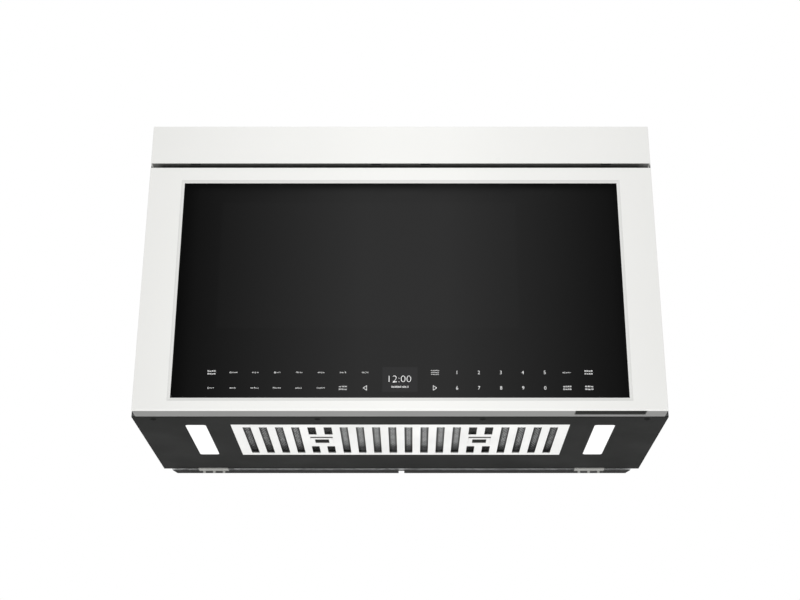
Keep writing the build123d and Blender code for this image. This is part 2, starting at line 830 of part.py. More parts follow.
# ---------------------------------------------------------------- grease filter
# Filter cover: slotted white pan that hangs on two tongues at its front edge.
first_column = -(slot_columns - 1) / 2 * slot_pitch
with BuildPart() as filter_cover:
    pan(
        -cover_width / 2, cover_width / 2, cover_front_y, cover_rear_y, 0, cover_rim, cover_sheet,
    )
    with BuildSketch():
        with Locations((0, slots_y)):
            for column in range(slot_columns):
                x = first_column + column * slot_pitch
                near_handle = abs(abs(x) - handle_x) < slot_pitch
                with Locations((x, 0)):
                    if near_handle:
                        with GridLocations(0, slot_length - short_slot, 1, 2):
                            Rectangle(slot_width, short_slot)
                    else:
                        Rectangle(slot_width, slot_length)
        with Locations((-handle_x, slots_y), (handle_x, slots_y)):
            Rectangle(grip_width, grip_length)
    extrude(amount=cover_sheet, mode=Mode.SUBTRACT)
    for x in (-handle_x, handle_x):
        block(
            x - bolt_bar / 2 - fit, x + bolt_bar / 2 + fit, cover_rear_y - cover_sheet, cover_rear_y,
            cover_sheet, cover_sheet + slider_thick + slider_rise, mode=Mode.SUBTRACT,
        )
    for x in (-tongue_x, tongue_x):
        block(
            x - tongue_width / 2, x + tongue_width / 2, cover_front_y - tongue_reach, cover_front_y,
            base_sheet + 2 * fit, base_sheet + 2 * fit + cover_sheet,
        )
filter_cover.part.label = "filter_cover"
export_step(filter_cover.part, "parts/filter_cover.step")

# Filter meshes: two aluminium pads laid in the cover, cut out over the latches.
mesh_side = cover_width / 2 - 2 * mesh_margin
with BuildPart() as filter_meshes:
    for side in (-1, 1):
        with BuildSketch(Plane.XY.offset(mesh_lift)):
            with Locations((side * cover_width / 4, cover_y)):
                Rectangle(mesh_side, cover_length - 2 * mesh_margin)
            with Locations((side * handle_x, slots_y)):
                Rectangle(grip_width + 4 * slider_lap, grip_length + 4 * slider_lap, mode=Mode.SUBTRACT)
        extrude(amount=mesh_thick)
filter_meshes.part.label = "filter_meshes"
export_step(filter_meshes.part, "parts/filter_meshes.step")


def filter_latch(x):
    """Sliding finger latch: a plate with a pocket and a bar that reaches the cover's rear edge."""
    plate_half_width = grip_width / 2 - fit
    flange = cover_sheet + fit
    flange_top = flange + slider_thick
    block(x - plate_half_width, x + plate_half_width, slider_front, slider_rear, 0, flange)
    block(
        x - grip_width / 2 - slider_lap, x + grip_width / 2 + slider_lap,
        slider_front - slider_lap, slider_rear + slider_lap, flange, flange_top,
    )
    block(x - bolt_bar / 2, x + bolt_bar / 2, slider_rear, cover_rear_y - 2 * fit, flange, flange_top)
    half = pocket_width / 2
    reach = pocket_length / 2
    block(
        x - half - pocket_wall, x + half + pocket_wall, pocket_y - reach - pocket_wall,
        pocket_y + reach + pocket_wall, flange, pocket_deep + pocket_wall,
    )
    block(x - half, x + half, pocket_y - reach, pocket_y + reach, 0, pocket_deep, mode=Mode.SUBTRACT)


# Filter latches: pulled forwards, they free the cover's rear edge.
with BuildPart() as left_filter_latch:
    filter_latch(-handle_x)
left_filter_latch.part.label = "left_filter_latch"
export_step(left_filter_latch.part, "parts/left_filter_latch.step")

with BuildPart() as right_filter_latch:
    filter_latch(handle_x)
right_filter_latch.part.label = "right_filter_latch"
export_step(right_filter_latch.part, "parts/right_filter_latch.step")

# ---------------------------------------------------------------- door
# Door frame: one white shell, with a sloping lip round the opening for the glass.
with BuildPart() as door_frame:
    block(-door_half, door_half, door_front, door_back, 0, door_height)
    block(
        door_wall - door_half, door_half - door_wall, glass_front, door_back,
        door_wall, door_height - door_wall, mode=Mode.SUBTRACT,
    )
    with BuildSketch(Plane.XZ.offset(-door_front)):
        with Locations((0, glass_z)):
            Rectangle(2 * (glass_half + lip_width), glass_top - glass_foot + 2 * lip_width)
    with BuildSketch(Plane.XZ.offset(-door_front - lip_depth)):
        with Locations((0, glass_z)):
            Rectangle(2 * glass_half, glass_top - glass_foot)
    loft(mode=Mode.SUBTRACT)
    block(-glass_half, glass_half, door_front, glass_front, glass_foot, glass_top, mode=Mode.SUBTRACT)
    outline = door_frame.faces().sort_by(Axis.Y)[0].outer_wire().edges()
    fillet(outline, door_edge)
    for level in arm_levels:
        block(
            -door_half, door_wall - door_half, relief_front, door_back,
            level - arm_thick / 2 - arm_clear, level + arm_thick / 2 + arm_clear, mode=Mode.SUBTRACT,
        )
    block(
        pull_x - pull_width / 2 - pull_wall, pull_x + pull_width / 2 + pull_wall,
        pull_front - pull_wall, pull_rear + pull_wall, 0, door_wall, mode=Mode.SUBTRACT,
    )
door_frame.part.label = "door_frame"
export_step(door_frame.part, "parts/door_frame.step")

# Door glass: one dark pane held against the frame's lip.
with BuildPart() as door_glass:
    block(
        -glass_half - glass_lap, glass_half + glass_lap, glass_front, glass_back,
        glass_foot - glass_lap, glass_top + glass_lap,
    )
door_glass.part.label = "door_glass"
export_step(door_glass.part, "parts/door_glass.step")

# Pull cup: grey liner of the finger pull, open downwards.
with BuildPart() as pull_cup:
    block(
        pull_x - pull_width / 2 - pull_wall, pull_x + pull_width / 2 + pull_wall,
        pull_front - pull_wall, pull_rear + pull_wall, 0, pull_deep + pull_wall,
    )
    block(
        pull_x - pull_width / 2, pull_x + pull_width / 2, pull_front, pull_rear,
        0, pull_deep, mode=Mode.SUBTRACT,
    )
pull_cup.part.label = "pull_cup"
export_step(pull_cup.part, "parts/pull_cup.step")

# Door back: sheet that closes the frame, open at the choke, the hooks and the hinge arms.
with BuildPart() as door_back_cover:
    block(
        door_wall + fit - door_half, door_half - door_wall - fit, back_sheet_front, door_back,
        door_wall + fit, door_height - door_wall - fit,
    )
    block(choke_left, choke_right, back_sheet_front, door_back, choke_low, choke_high, mode=Mode.SUBTRACT)
    for level in hook_levels:
        block(
            latch_x - hook_slot_half, latch_x + hook_slot_half, back_sheet_front, door_back,
            level - hook_slot_low, level + hook_slot_high, mode=Mode.SUBTRACT,
        )
    for level in arm_levels:
        block(
            -door_half, relief_right, back_sheet_front, door_back,
            level - arm_thick / 2 - arm_clear, level + arm_thick / 2 + arm_clear, mode=Mode.SUBTRACT,
        )
    block(
        latch_x - lever_side / 2, latch_x + lever_side / 2, lever_front, back_sheet_front,
        spring_top, spring_top + spring_seat,
    )
door_back_cover.part.label = "door_back_cover"
export_step(door_back_cover.part, "parts/door_back_cover.step")

# Choke panel: steel pan with a channel round the window and the punched screen in its middle.
choke_rear = door_back - choke_cover_thick
choke_front = choke_rear - choke_depth
with BuildPart() as choke_panel:
    block(
        choke_left + fit, choke_right - fit, choke_front, choke_rear,
        choke_low + fit, choke_high - fit,
    )
    block(
        choke_left + fit + choke_sheet, choke_right - fit - choke_sheet,
        choke_front + choke_sheet, choke_rear,
        choke_low + fit + choke_sheet, choke_high - fit - choke_sheet, mode=Mode.SUBTRACT,
    )
    block(
        window_left - choke_sheet, window_right + choke_sheet, choke_front, choke_rear,
        window_low - choke_sheet, window_high + choke_sheet,
    )
    block(
        window_left, window_right, choke_front + choke_sheet, choke_rear,
        window_low, window_high, mode=Mode.SUBTRACT,
    )
choke_panel.part.label = "choke_panel"
export_step(choke_panel.part, "parts/choke_panel.step")

# Choke cover: plastic ring that hides the channel.
with BuildPart() as choke_cover:
    block(choke_left + fit, choke_right - fit, choke_rear, door_back, choke_low + fit, choke_high - fit)
    block(window_left, window_right, choke_rear, door_back, window_low, window_high, mode=Mode.SUBTRACT)
choke_cover.part.label = "choke_cover"
export_step(choke_cover.part, "parts/choke_cover.step")

# Inner window: clear pane on the oven's side of the screen.
with BuildPart() as inner_window:
    block(
        window_left + fit, window_right - fit, door_back - fit - window_thick, door_back - fit,
        window_low + fit, window_high - fit,
    )
inner_window.part.label = "inner_window"
export_step(inner_window.part, "parts/inner_window.step")

# Touch board: sensor strip behind the lower band of the glass, open round the display.
with BuildPart() as touch_board:
    block(
        -touch_half, touch_half, glass_back, glass_back + touch_thick,
        touch_bottom, touch_bottom + touch_height,
    )
    block(
        -display_width / 2 - fit, display_width / 2 + fit, glass_back, glass_back + touch_thick,
        display_bottom - fit, display_bottom + display_height + fit, mode=Mode.SUBTRACT,
    )
touch_board.part.label = "touch_board"
export_step(touch_board.part, "parts/touch_board.step")

# Display module: sits in the touch board's opening, against the glass.
with BuildPart() as display_module:
    block(
        -display_width / 2, display_width / 2, glass_back, glass_back + display_thick,
        display_bottom, display_bottom + display_height,
    )
    fillet(display_module.edges().filter_by(Axis.Y), door_edge)
display_module.part.label = "display_module"
export_step(display_module.part, "parts/display_module.step")

# ---------------------------------------------------------------- door hinge
# Hinge brackets: leaves behind the face plate whose arms reach into the door.
with BuildPart() as hinge_brackets:
    for level in arm_levels:
        low = level - arm_thick / 2
        high = level + arm_thick / 2
        block(
            pin_x - arm_half, pin_x + 2 * arm_half, face_back, face_back + leaf_thick,
            level - leaf_height / 2, level + leaf_height / 2,
        )
        block(pin_x - arm_half, pin_x + arm_half, pin_y, face_back, low, high)
        upright(pin_x, pin_y, low, high, arm_half)
        upright(pin_x, pin_y, low, high, pin_radius, mode=Mode.SUBTRACT)
hinge_brackets.part.label = "hinge_brackets"
export_step(hinge_brackets.part, "parts/hinge_brackets.step")

# Hinge pins: pressed into the arms.
with BuildPart() as hinge_pins:
    for level in arm_levels:
        upright(pin_x, pin_y, level - pin_half, level + pin_half, pin_radius)
hinge_pins.part.label = "hinge_pins"
export_step(hinge_pins.part, "parts/hinge_pins.step")

# Hinge blocks: die-cast, inside the door's left corners, bored for the pins.
with BuildPart() as hinge_blocks:
    for level in arm_levels:
        block(
            door_wall + fit - door_half, relief_right + block_web,
            glass_front + fit, back_sheet_front - fit, level - block_half, level + block_half,
        )
        block(
            -door_half, relief_right, relief_front, door_back,
            level - arm_thick / 2 - arm_clear, level + arm_thick / 2 + arm_clear, mode=Mode.SUBTRACT,
        )
        upright(
            pin_x, pin_y, level - block_half, level + block_half, pin_radius + running,
            mode=Mode.SUBTRACT,
        )
hinge_blocks.part.label = "hinge_blocks"
export_step(hinge_blocks.part, "parts/hinge_blocks.step")

# ---------------------------------------------------------------- door latch
# Latch lever: upright bar in the door with two hooks that reach into the cabinet.
with BuildPart() as latch_lever:
    block(
        latch_x - lever_side / 2, latch_x + lever_side / 2, lever_front, lever_back,
        lever_foot, lever_top,
    )
    for level in hook_levels:
        low = level - hook_height / 2
        block(latch_x - hook_half, latch_x + hook_half, lever_back, hook_tip, low, low + hook_height)
        block(
            latch_x - hook_half, latch_x + hook_half, hook_tip - hook_nose, hook_tip,
            low - hook_drop, low,
        )
latch_lever.part.label = "latch_lever"
export_step(latch_lever.part, "parts/latch_lever.step")

# Latch spring: pushes the lever down.
lever_y = (lever_front + lever_back) / 2
with BuildPart() as latch_spring:
    with BuildLine() as coil:
        Helix(
            spring_step, spring_length, spring_radius,
            center=(latch_x, lever_y, lever_top + spring_wire),
        )
    with BuildSketch(Plane(origin=coil.line @ 0, z_dir=coil.line % 0)):
        Circle(spring_wire)
    sweep(is_frenet=True)
latch_spring.part.label = "latch_spring"
export_step(latch_spring.part, "parts/latch_spring.step")

# Latch board: plastic bracket behind the face plate with a catch under each hook.
board_wall = latch_x + hook_slot_half + board_wall_space
catch_rear = hook_tip - hook_nose - catch_space
catch_fall = hook_height / 2 + hook_drop + catch_clear
with BuildPart() as latch_board:
    block(
        board_wall, board_wall + board_wall_thick, face_back, latch_board_rear,
        hook_levels[0] - catch_fall - catch_thick, hook_levels[-1] + board_above_hook,
    )
    for level in hook_levels:
        catch_top = level - catch_fall
        block(
            latch_x - hook_slot_half, board_wall, face_back + catch_inset, catch_rear,
            catch_top - catch_thick, catch_top,
        )
latch_board.part.label = "latch_board"
export_step(latch_board.part, "parts/latch_board.step")

# Microswitches: one behind each hook and one between them.
switch_front = hook_tip + switch_space
switch_levels = hook_levels + [latch_height + latch_spacing / 2]
with BuildPart() as microswitches:
    for level in switch_levels:
        block(
            latch_x - hook_slot_half, board_wall, switch_front, switch_front + switch_depth,
            level - switch_height / 2, level + switch_height / 2,
        )
        along_y(latch_x, level, switch_front - plunger_length, switch_front, plunger_radius)
microswitches.part.label = "microswitches"
export_step(microswitches.part, "parts/microswitches.step")

# ---------------------------------------------------------------- oven
# Oven liner: roof, sides, rear and floor spot-welded to each other, with their flanges round the
# mouth, and a well under the floor for the stirrer.
vane_pitch = 2 * convection_opening / vane_slots
flange_back = face_back + cavity_sheet
wall_low = ledge + fit
wall_high = cavity_top - fit
liner_back = cavity_rear + cavity_sheet
well_top = ledge - cavity_sheet - fit
well_left = cavity_x - well_width / 2
well_right = cavity_x + well_width / 2
well_front = cavity_y - well_length / 2
well_rear = cavity_y + well_length / 2
flange_left = cavity_left - cavity_flange
flange_right = cavity_right + cavity_flange
with BuildPart() as cavity:
    block(outer_left, outer_right, face_back, liner_back, cavity_top, roof)
    block(flange_left, flange_right, face_back, flange_back, cavity_top, cavity_top + cavity_flange)
    block(outer_left, cavity_left, face_back, cavity_rear - fit, wall_low, wall_high)
    block(flange_left, cavity_left, face_back, flange_back, wall_low, wall_high)
    block(cavity_right, outer_right, face_back, cavity_rear - fit, wall_low, wall_high)
    block(cavity_right, flange_right, face_back, flange_back, wall_low, wall_high)
    block(outer_left, outer_right, cavity_rear, liner_back, wall_low, wall_high)
    block(outer_left, outer_right, face_back, liner_back, ledge - cavity_sheet, ledge)
    block(flange_left, flange_right, face_back, flange_back, ledge - cavity_flange, ledge)
    block(well_left, well_right, well_front, well_rear, ledge - cavity_sheet, ledge, mode=Mode.SUBTRACT)
    block(
        well_left - cavity_sheet, well_right + cavity_sheet, well_front - cavity_sheet,
        well_rear + cavity_sheet, duct_bottom, well_top,
    )
    block(well_left, well_right, well_front, well_rear, well_floor, well_top, mode=Mode.SUBTRACT)
    upright(cavity_x, cavity_y, duct_bottom, well_floor, shaft_hole, mode=Mode.SUBTRACT)
    with BuildSketch(Plane.YZ.offset(outer_left)):
        with Locations((cavity_y, cavity_z)):
            with GridLocations(0, 2 * vane_pitch, 1, vane_slots // 2 + 1):
                SlotOverall(2 * convection_opening, vane_pitch)
            with GridLocations(2 * heater_radius, 2 * vane_pitch, 2, vane_slots // 2 + 1):
                SlotOverall(convection_opening, vane_pitch)
    extrude(amount=cavity_sheet, mode=Mode.SUBTRACT)
cavity.part.label = "cavity"
export_step(cavity.part, "parts/cavity.step")

# Ceramic floor: flat plate over the well.
with BuildPart() as ceramic_floor:
    block(cavity_left + fit, cavity_right - fit, face_back + fit, cavity_rear - fit, ledge, cavity_floor)
    fillet(ceramic_floor.edges().filter_by(Axis.Z), fold_radius)
ceramic_floor.part.label = "ceramic_floor"
export_step(ceramic_floor.part, "parts/ceramic_floor.step")

# Stirrer: slotted metal antenna on its drive shaft.
stirrer_low = well_floor + stirrer_lift
stirrer_foot = guide_bottom - shaft_seat
with BuildPart() as stirrer:
    with BuildSketch(Plane.XY.offset(stirrer_low)):
        with Locations((cavity_x, cavity_y)):
            Circle(stirrer_radius)
            with PolarLocations(stirrer_slot_from_axis, stirrer_slots):
                SlotOverall(stirrer_slot_length, stirrer_slot_width, mode=Mode.SUBTRACT)
            with Locations((stirrer_radius, 0)):
                Rectangle(stirrer_notch_length, stirrer_notch_width, mode=Mode.SUBTRACT)
    extrude(amount=stirrer_sheet)
    upright(cavity_x, cavity_y, stirrer_foot, stirrer_low, stirrer_shaft)
stirrer.part.label = "stirrer"
export_step(stirrer.part, "parts/stirrer.step")

# Waveguide: flat duct from the magnetron to the well.
guide_from = cavity_x - guide_left
guide_to = magnetron_x + magnetron_length / 2
with BuildPart() as waveguide:
    block(
        guide_from, guide_to, cavity_y - guide_width / 2, cavity_y + guide_width / 2,
        guide_bottom, duct_bottom,
    )
    block(
        guide_from + guide_sheet, guide_to - guide_sheet,
        cavity_y - guide_width / 2 + guide_sheet, cavity_y + guide_width / 2 - guide_sheet,
        guide_bottom + guide_sheet, duct_bottom - guide_sheet, mode=Mode.SUBTRACT,
    )
    upright(cavity_x, cavity_y, duct_bottom - guide_sheet, duct_bottom, shaft_hole, mode=Mode.SUBTRACT)
    upright(
        cavity_x, cavity_y, guide_bottom, guide_bottom + guide_sheet, stirrer_shaft + 2 * fit,
        mode=Mode.SUBTRACT,
    )
    upright(
        magnetron_x, magnetron_y, duct_bottom - guide_sheet, duct_bottom, antenna_radius + antenna_clear,
        mode=Mode.SUBTRACT,
    )
waveguide.part.label = "waveguide"
export_step(waveguide.part, "parts/waveguide.step")

# Stirrer motor: flat synchronous motor under the waveguide.
with BuildPart() as stirrer_motor:
    upright(cavity_x, cavity_y, guide_bottom - stirrer_motor_height, guide_bottom, stirrer_motor_radius)
    fillet(stirrer_motor.edges().filter_by(GeomType.CIRCLE).group_by(Axis.Z)[0], fold_radius)
    block(
        cavity_x - stirrer_ear_half, cavity_x + stirrer_ear_half, cavity_y - stirrer_ear_width / 2,
        cavity_y + stirrer_ear_width / 2, guide_bottom - shelf_sheet, guide_bottom,
    )
    upright(
        cavity_x, cavity_y, guide_bottom - shaft_seat - fit, guide_bottom,
        stirrer_shaft + running, mode=Mode.SUBTRACT,
    )
stirrer_motor.part.label = "stirrer_motor"
export_step(stirrer_motor.part, "parts/stirrer_motor.step")

# Oven lamp: holder and bulb behind the right wall.
holder_y = face_back + oven_lamp_from_face
holder_z = cavity_top - oven_lamp_below_roof
holder_half = lamp_holder_side / 2
holder_right = outer_right + lamp_holder_depth
with BuildPart() as cavity_lamp:
    block(
        outer_right, holder_right, holder_y - holder_half, holder_y + holder_half,
        holder_z - holder_half, holder_z + holder_half,
    )
    along_x(holder_y, holder_z, holder_right, holder_right + lamp_holder_depth, bulb_radius)
cavity_lamp.part.label = "cavity_lamp"
export_step(cavity_lamp.part, "parts/cavity_lamp.step")

# Thermal cut-outs: small discs on the liner's right wall and roof.
with BuildPart() as thermal_cutouts:
    for y in (cavity_y, cavity_rear - cutout_from_rear):
        along_x(y, cavity_z, outer_right, outer_right + cutout_height, cutout_radius)
        block(
            outer_right, outer_right + shelf_sheet, y - 2 * cutout_radius, y + 2 * cutout_radius,
            cavity_z - cutout_radius / 2, cavity_z + cutout_radius / 2,
        )
    upright(cavity_x, face_back + cutout_from_face, roof, roof + cutout_height, cutout_radius)
thermal_cutouts.part.label = "thermal_cutouts"
export_step(thermal_cutouts.part, "parts/thermal_cutouts.step")

# ---------------------------------------------------------------- component bay
# Component shelf: carries the power parts above the vent duct.
with BuildPart() as component_shelf:
    block(shelf_left, panel_x, face_back, back_front, guide_bottom - shelf_sheet, guide_bottom)
    shelf_top = guide_bottom + shelf_flange
    block(shelf_left, panel_x, face_back, face_back + shelf_sheet, guide_bottom, shelf_top)
    block(shelf_left, panel_x, back_front - shelf_sheet, back_front, guide_bottom, shelf_top)
    block(panel_x - shelf_sheet, panel_x, face_back, back_front, guide_bottom, shelf_top)
component_shelf.part.label = "component_shelf"
export_step(component_shelf.part, "parts/component_shelf.step")

# Magnetron: cooling fins round the anode, yoke, filter box and the antenna in the waveguide.
yoke_low = duct_bottom
yoke_high = yoke_low + magnetron_height
half_long = magnetron_length / 2
half_broad = magnetron_width / 2
fin_pitch = (magnetron_height - 2 * yoke_sheet) / (magnetron_fins + 1)
with BuildPart() as magnetron:
    block(
        magnetron_x - half_long, magnetron_x + half_long,
        magnetron_y - half_broad, magnetron_y + half_broad, yoke_low, yoke_high,
    )
    block(
        magnetron_x - half_long + yoke_sheet, magnetron_x + half_long - yoke_sheet,
        magnetron_y - half_broad, magnetron_y + half_broad,
        yoke_low + yoke_sheet, yoke_high - yoke_sheet, mode=Mode.SUBTRACT,
    )
    upright(magnetron_x, magnetron_y, yoke_low, yoke_high, anode_radius)
    for fin in range(magnetron_fins):
        level = yoke_low + yoke_sheet + (fin + 1) * fin_pitch
        block(
            magnetron_x - half_long, magnetron_x + half_long,
            magnetron_y - half_broad + fin_inset, magnetron_y + half_broad - fin_inset,
            level - fin_thick / 2, level + fin_thick / 2,
        )
    block(
        magnetron_x - half_long + filter_box_side, magnetron_x + half_long - filter_box_side,
        magnetron_y - half_broad + filter_box_edge, magnetron_y + half_broad - filter_box_edge,
        yoke_high, yoke_high + filter_box_height,
    )
    upright(magnetron_x, magnetron_y, yoke_low - antenna_length, yoke_low, antenna_radius)
magnetron.part.label = "magnetron"
export_step(magnetron.part, "parts/magnetron.step")

# High voltage transformer: laminated core with its windings.
core_low = guide_bottom
core_high = core_low + transformer_height
with BuildPart() as transformer:
    block(
        transformer_x - transformer_width / 2, transformer_x + transformer_width / 2,
        transformer_y - core_length / 2, transformer_y + core_length / 2, core_low, core_high,
    )
    with BuildSketch(Plane.XZ.offset(-transformer_y - transformer_length / 2)):
        with Locations((transformer_x, (core_low + core_high) / 2)):
            RectangleRounded(winding_width, winding_height, winding_corner)
    extrude(amount=transformer_length)
transformer.part.label = "transformer"
export_step(transformer.part, "parts/transformer.step")

# Capacitor: oval can with two blade terminals.
can_top = guide_bottom + capacitor_height
with BuildPart() as capacitor:
    with BuildSketch(Plane.XY.offset(guide_bottom)):
        with Locations((capacitor_x, capacitor_y)):
            SlotOverall(capacitor_length, capacitor_width, rotation=90)
    extrude(amount=capacitor_height)
    for y in (capacitor_y - blade_spread / 2, capacitor_y + blade_spread / 2):
        block(
            capacitor_x - blade_width / 2, capacitor_x + blade_width / 2,
            y - blade_thick / 2, y + blade_thick / 2, can_top, can_top + blade_height,
        )
capacitor.part.label = "capacitor"
export_step(capacitor.part, "parts/capacitor.step")

# Power board: relays, round cans and a heat sink on a board that stands against the right side.
board_front = latch_board_rear + power_board_gap
board_rear = board_front + board_length
board_top = board_bottom + board_height
board_x = panel_x - board_standoff
board_face = board_x - board_thick
with BuildPart() as power_board:
    block(board_face, board_x, board_front, board_rear, board_bottom, board_top)
    for y in (board_front + standoff_inset, board_rear - standoff_inset):
        for z in (board_bottom + standoff_inset, board_top - standoff_inset):
            along_x(y, z, board_x, panel_x, standoff_radius)
    with Locations((
        board_face - relay_deep / 2, board_front + relays_from_front, board_bottom + relays_from_foot,
    )):
        for column in range(relay_columns):
            for row in range(relay_rows):
                across = (column - (relay_columns - 1) / 2) * relay_step_y
                up = (row - (relay_rows - 1) / 2) * relay_step_z
                with Locations((0, across, up)):
                    Box(relay_deep, relay_long, relay_high)
    for step in range(board_cans):
        along_x(
            board_front + can_from_front + can_step * step, board_bottom + can_from_foot,
            board_face - can_length, board_face, can_radius,
        )
    block(
        board_face - sink_depth, board_face, board_rear - sink_rear - sink_length, board_rear - sink_rear,
        board_bottom + sink_foot, board_top - sink_head,
    )
power_board.part.label = "power_board"
export_step(power_board.part, "parts/power_board.step")

# Fan shroud: square plate with a round throat, standing behind the magnetron.
shroud_front = fan_y - fan_width / 2 - shroud_clear
shroud_rear = fan_y + fan_width / 2 + shroud_clear
strap_front = shroud_rear + post_length
throat = fan_radius + shroud_clear
with BuildPart() as fan_shroud:
    with BuildSketch(Plane.XZ.offset(-shroud_rear)):
        with Locations((magnetron_x, fan_z)):
            Rectangle(shroud_side, shroud_side)
            Circle(throat, mode=Mode.SUBTRACT)
    extrude(amount=shroud_rear - shroud_front)
    block(
        magnetron_x - shroud_side / 2, magnetron_x + shroud_side / 2, shroud_front, shroud_rear,
        guide_bottom, fan_z - shroud_side / 2,
    )
    for side in (-1, 1):
        x = magnetron_x + side * (throat + post_gap)
        block(
            x - post_width / 2, x + post_width / 2, shroud_rear, strap_front,
            fan_z - post_height / 2, fan_z + post_height / 2,
        )
fan_shroud.part.label = "fan_shroud"
export_step(fan_shroud.part, "parts/fan_shroud.step")

# Cooling fan: five pitched blades on a hub.
blade_root = hub_radius - hub_wall
fan_shaft_end = shroud_rear + fan_shaft_length
blade_middle = (blade_root + fan_radius) / 2
blade_long = fan_radius - blade_root
fan_axis = Plane(origin=(magnetron_x, fan_y, fan_z), z_dir=(0, 1, 0))
with BuildPart() as cooling_fan:
    with Locations(fan_axis):
        Cylinder(hub_radius, fan_width)
        with PolarLocations(blade_middle, fan_blades):
            Box(blade_long, fan_blade_width, fan_blade_thick, rotation=(fan_blade_twist, 0, 0))
    along_y(magnetron_x, fan_z, fan_y, fan_shaft_end, motor_shaft)
cooling_fan.part.label = "cooling_fan"
export_step(cooling_fan.part, "parts/cooling_fan.step")

# Cooling fan motor: on a strap across the shroud's posts.
fan_motor_front = shroud_rear + fan_motor_gap
strap_half = throat + post_gap + post_width
with BuildPart() as cooling_fan_motor:
    along_y(magnetron_x, fan_z, fan_motor_front, fan_motor_front + fan_motor_length, fan_motor_radius)
    block(
        magnetron_x - strap_half, magnetron_x + strap_half, strap_front, strap_front + strap_sheet,
        fan_z - post_height / 2, fan_z + post_height / 2,
    )
    along_y(
        magnetron_x, fan_z, fan_motor_front, fan_shaft_end + fit, motor_shaft + running,
        mode=Mode.SUBTRACT,
    )
cooling_fan_motor.part.label = "cooling_fan_motor"
export_step(cooling_fan_motor.part, "parts/cooling_fan_motor.step")

# ---------------------------------------------------------------- convection unit
# Convection housing: shallow box on the oven's left wall, open towards the oven.
housing_left = outer_left - convection_depth
half_side = convection_side / 2
with BuildPart() as convection_housing:
    block(
        housing_left, outer_left, cavity_y - half_side, cavity_y + half_side,
        cavity_z - half_side, cavity_z + half_side,
    )
    block(
        housing_left + cavity_sheet, outer_left, cavity_y - half_side + cavity_sheet,
        cavity_y + half_side - cavity_sheet, cavity_z - half_side + cavity_sheet,
        cavity_z + half_side - cavity_sheet, mode=Mode.SUBTRACT,
    )
    along_x(
        cavity_y, cavity_z, housing_left, housing_left + cavity_sheet, motor_shaft + shaft_clear,
        mode=Mode.SUBTRACT,
    )
convection_housing.part.label = "convection_housing"
export_step(convection_housing.part, "parts/convection_housing.step")

# Convection heater: ring of tube round the fan, with both ends out through the housing's back.
heater_x = outer_left - convection_depth / 2
with BuildPart() as convection_heater:
    with Locations(Plane(origin=(heater_x, cavity_y, cavity_z), z_dir=(1, 0, 0))):
        Torus(heater_radius, heater_wire)
    for side in (-1, 1):
        along_x(
            cavity_y + side * tail_gap, cavity_z + heater_radius, housing_left + cavity_sheet,
            heater_x, heater_wire,
        )
convection_heater.part.label = "convection_heater"
export_step(convection_heater.part, "parts/convection_heater.step")

# Convection fan: disc with radial blades on a shaft.
disc_x = housing_left + cavity_sheet + disc_gap
vane_x = disc_x + disc_sheet + vane_width / 2
with BuildPart() as convection_fan:
    along_x(cavity_y, cavity_z, disc_x, disc_x + disc_sheet, convection_fan_radius)
    with Locations(Plane(origin=(vane_x, cavity_y, cavity_z), z_dir=(1, 0, 0))):
        with PolarLocations(vane_from_axis, convection_blades):
            Box(vane_length, disc_sheet, vane_width)
    along_x(cavity_y, cavity_z, housing_left - convection_shaft_seat, disc_x + hub_length, motor_shaft)
convection_fan.part.label = "convection_fan"
export_step(convection_fan.part, "parts/convection_fan.step")

# Convection motor: on the housing's back.
with BuildPart() as convection_motor:
    along_x(
        cavity_y, cavity_z, housing_left - convection_motor_length, housing_left, convection_motor_radius,
    )
    along_x(
        cavity_y, cavity_z, housing_left - convection_shaft_seat - fit, housing_left,
        motor_shaft + running, mode=Mode.SUBTRACT,
    )
convection_motor.part.label = "convection_motor"
export_step(convection_motor.part, "parts/convection_motor.step")

# ---------------------------------------------------------------- vent blower
# Blower housing: scroll with an inlet at each end and its outlet under the exhaust opening.
outlet_half = outlet_width / 2
housing_half = outlet_half + blower_sheet
outer_scroll = scroll_radius + blower_sheet
outlet_front = blower_y - scroll_radius
outlet_back = outlet_front + outlet_depth
with BuildPart() as blower_housing:
    along_x(blower_y, blower_z, -housing_half, housing_half, outer_scroll)
    block(
        -housing_half, housing_half, outlet_front - blower_sheet, outlet_back + blower_sheet,
        blower_z, under_top,
    )
    along_x(blower_y, blower_z, -outlet_half, outlet_half, scroll_radius, mode=Mode.SUBTRACT)
    block(-outlet_half, outlet_half, outlet_front, outlet_back, blower_z, under_top, mode=Mode.SUBTRACT)
    along_x(blower_y, blower_z, -housing_half, housing_half, inlet_radius, mode=Mode.SUBTRACT)
blower_housing.part.label = "blower_housing"
export_step(blower_housing.part, "parts/blower_housing.step")

# Blower wheels: a squirrel cage at each end of the motor's shaft.
wheel_far = wheel_gap + wheel_width
with BuildPart() as blower_wheels:
    for side in (-1, 1):
        along_x(blower_y, blower_z, side * (wheel_far - ring_width), side * wheel_far, wheel_radius)
        along_x(
            blower_y, blower_z, side * (wheel_far - ring_width), side * wheel_far,
            wheel_radius - ring_depth, mode=Mode.SUBTRACT,
        )
        along_x(blower_y, blower_z, side * wheel_gap, side * (wheel_gap + ring_width), wheel_radius)
        middle = side * (wheel_gap + wheel_width / 2)
        with Locations(Plane(origin=(middle, blower_y, blower_z), z_dir=(1, 0, 0))):
            with PolarLocations(wheel_radius - cage_depth, wheel_blades):
                Box(wheel_blade_width, wheel_blade_thick, wheel_width, rotation=(0, 0, wheel_blade_twist))
    along_x(blower_y, blower_z, -wheel_far, wheel_far, motor_shaft)
blower_wheels.part.label = "blower_wheels"
export_step(blower_wheels.part, "parts/blower_wheels.step")

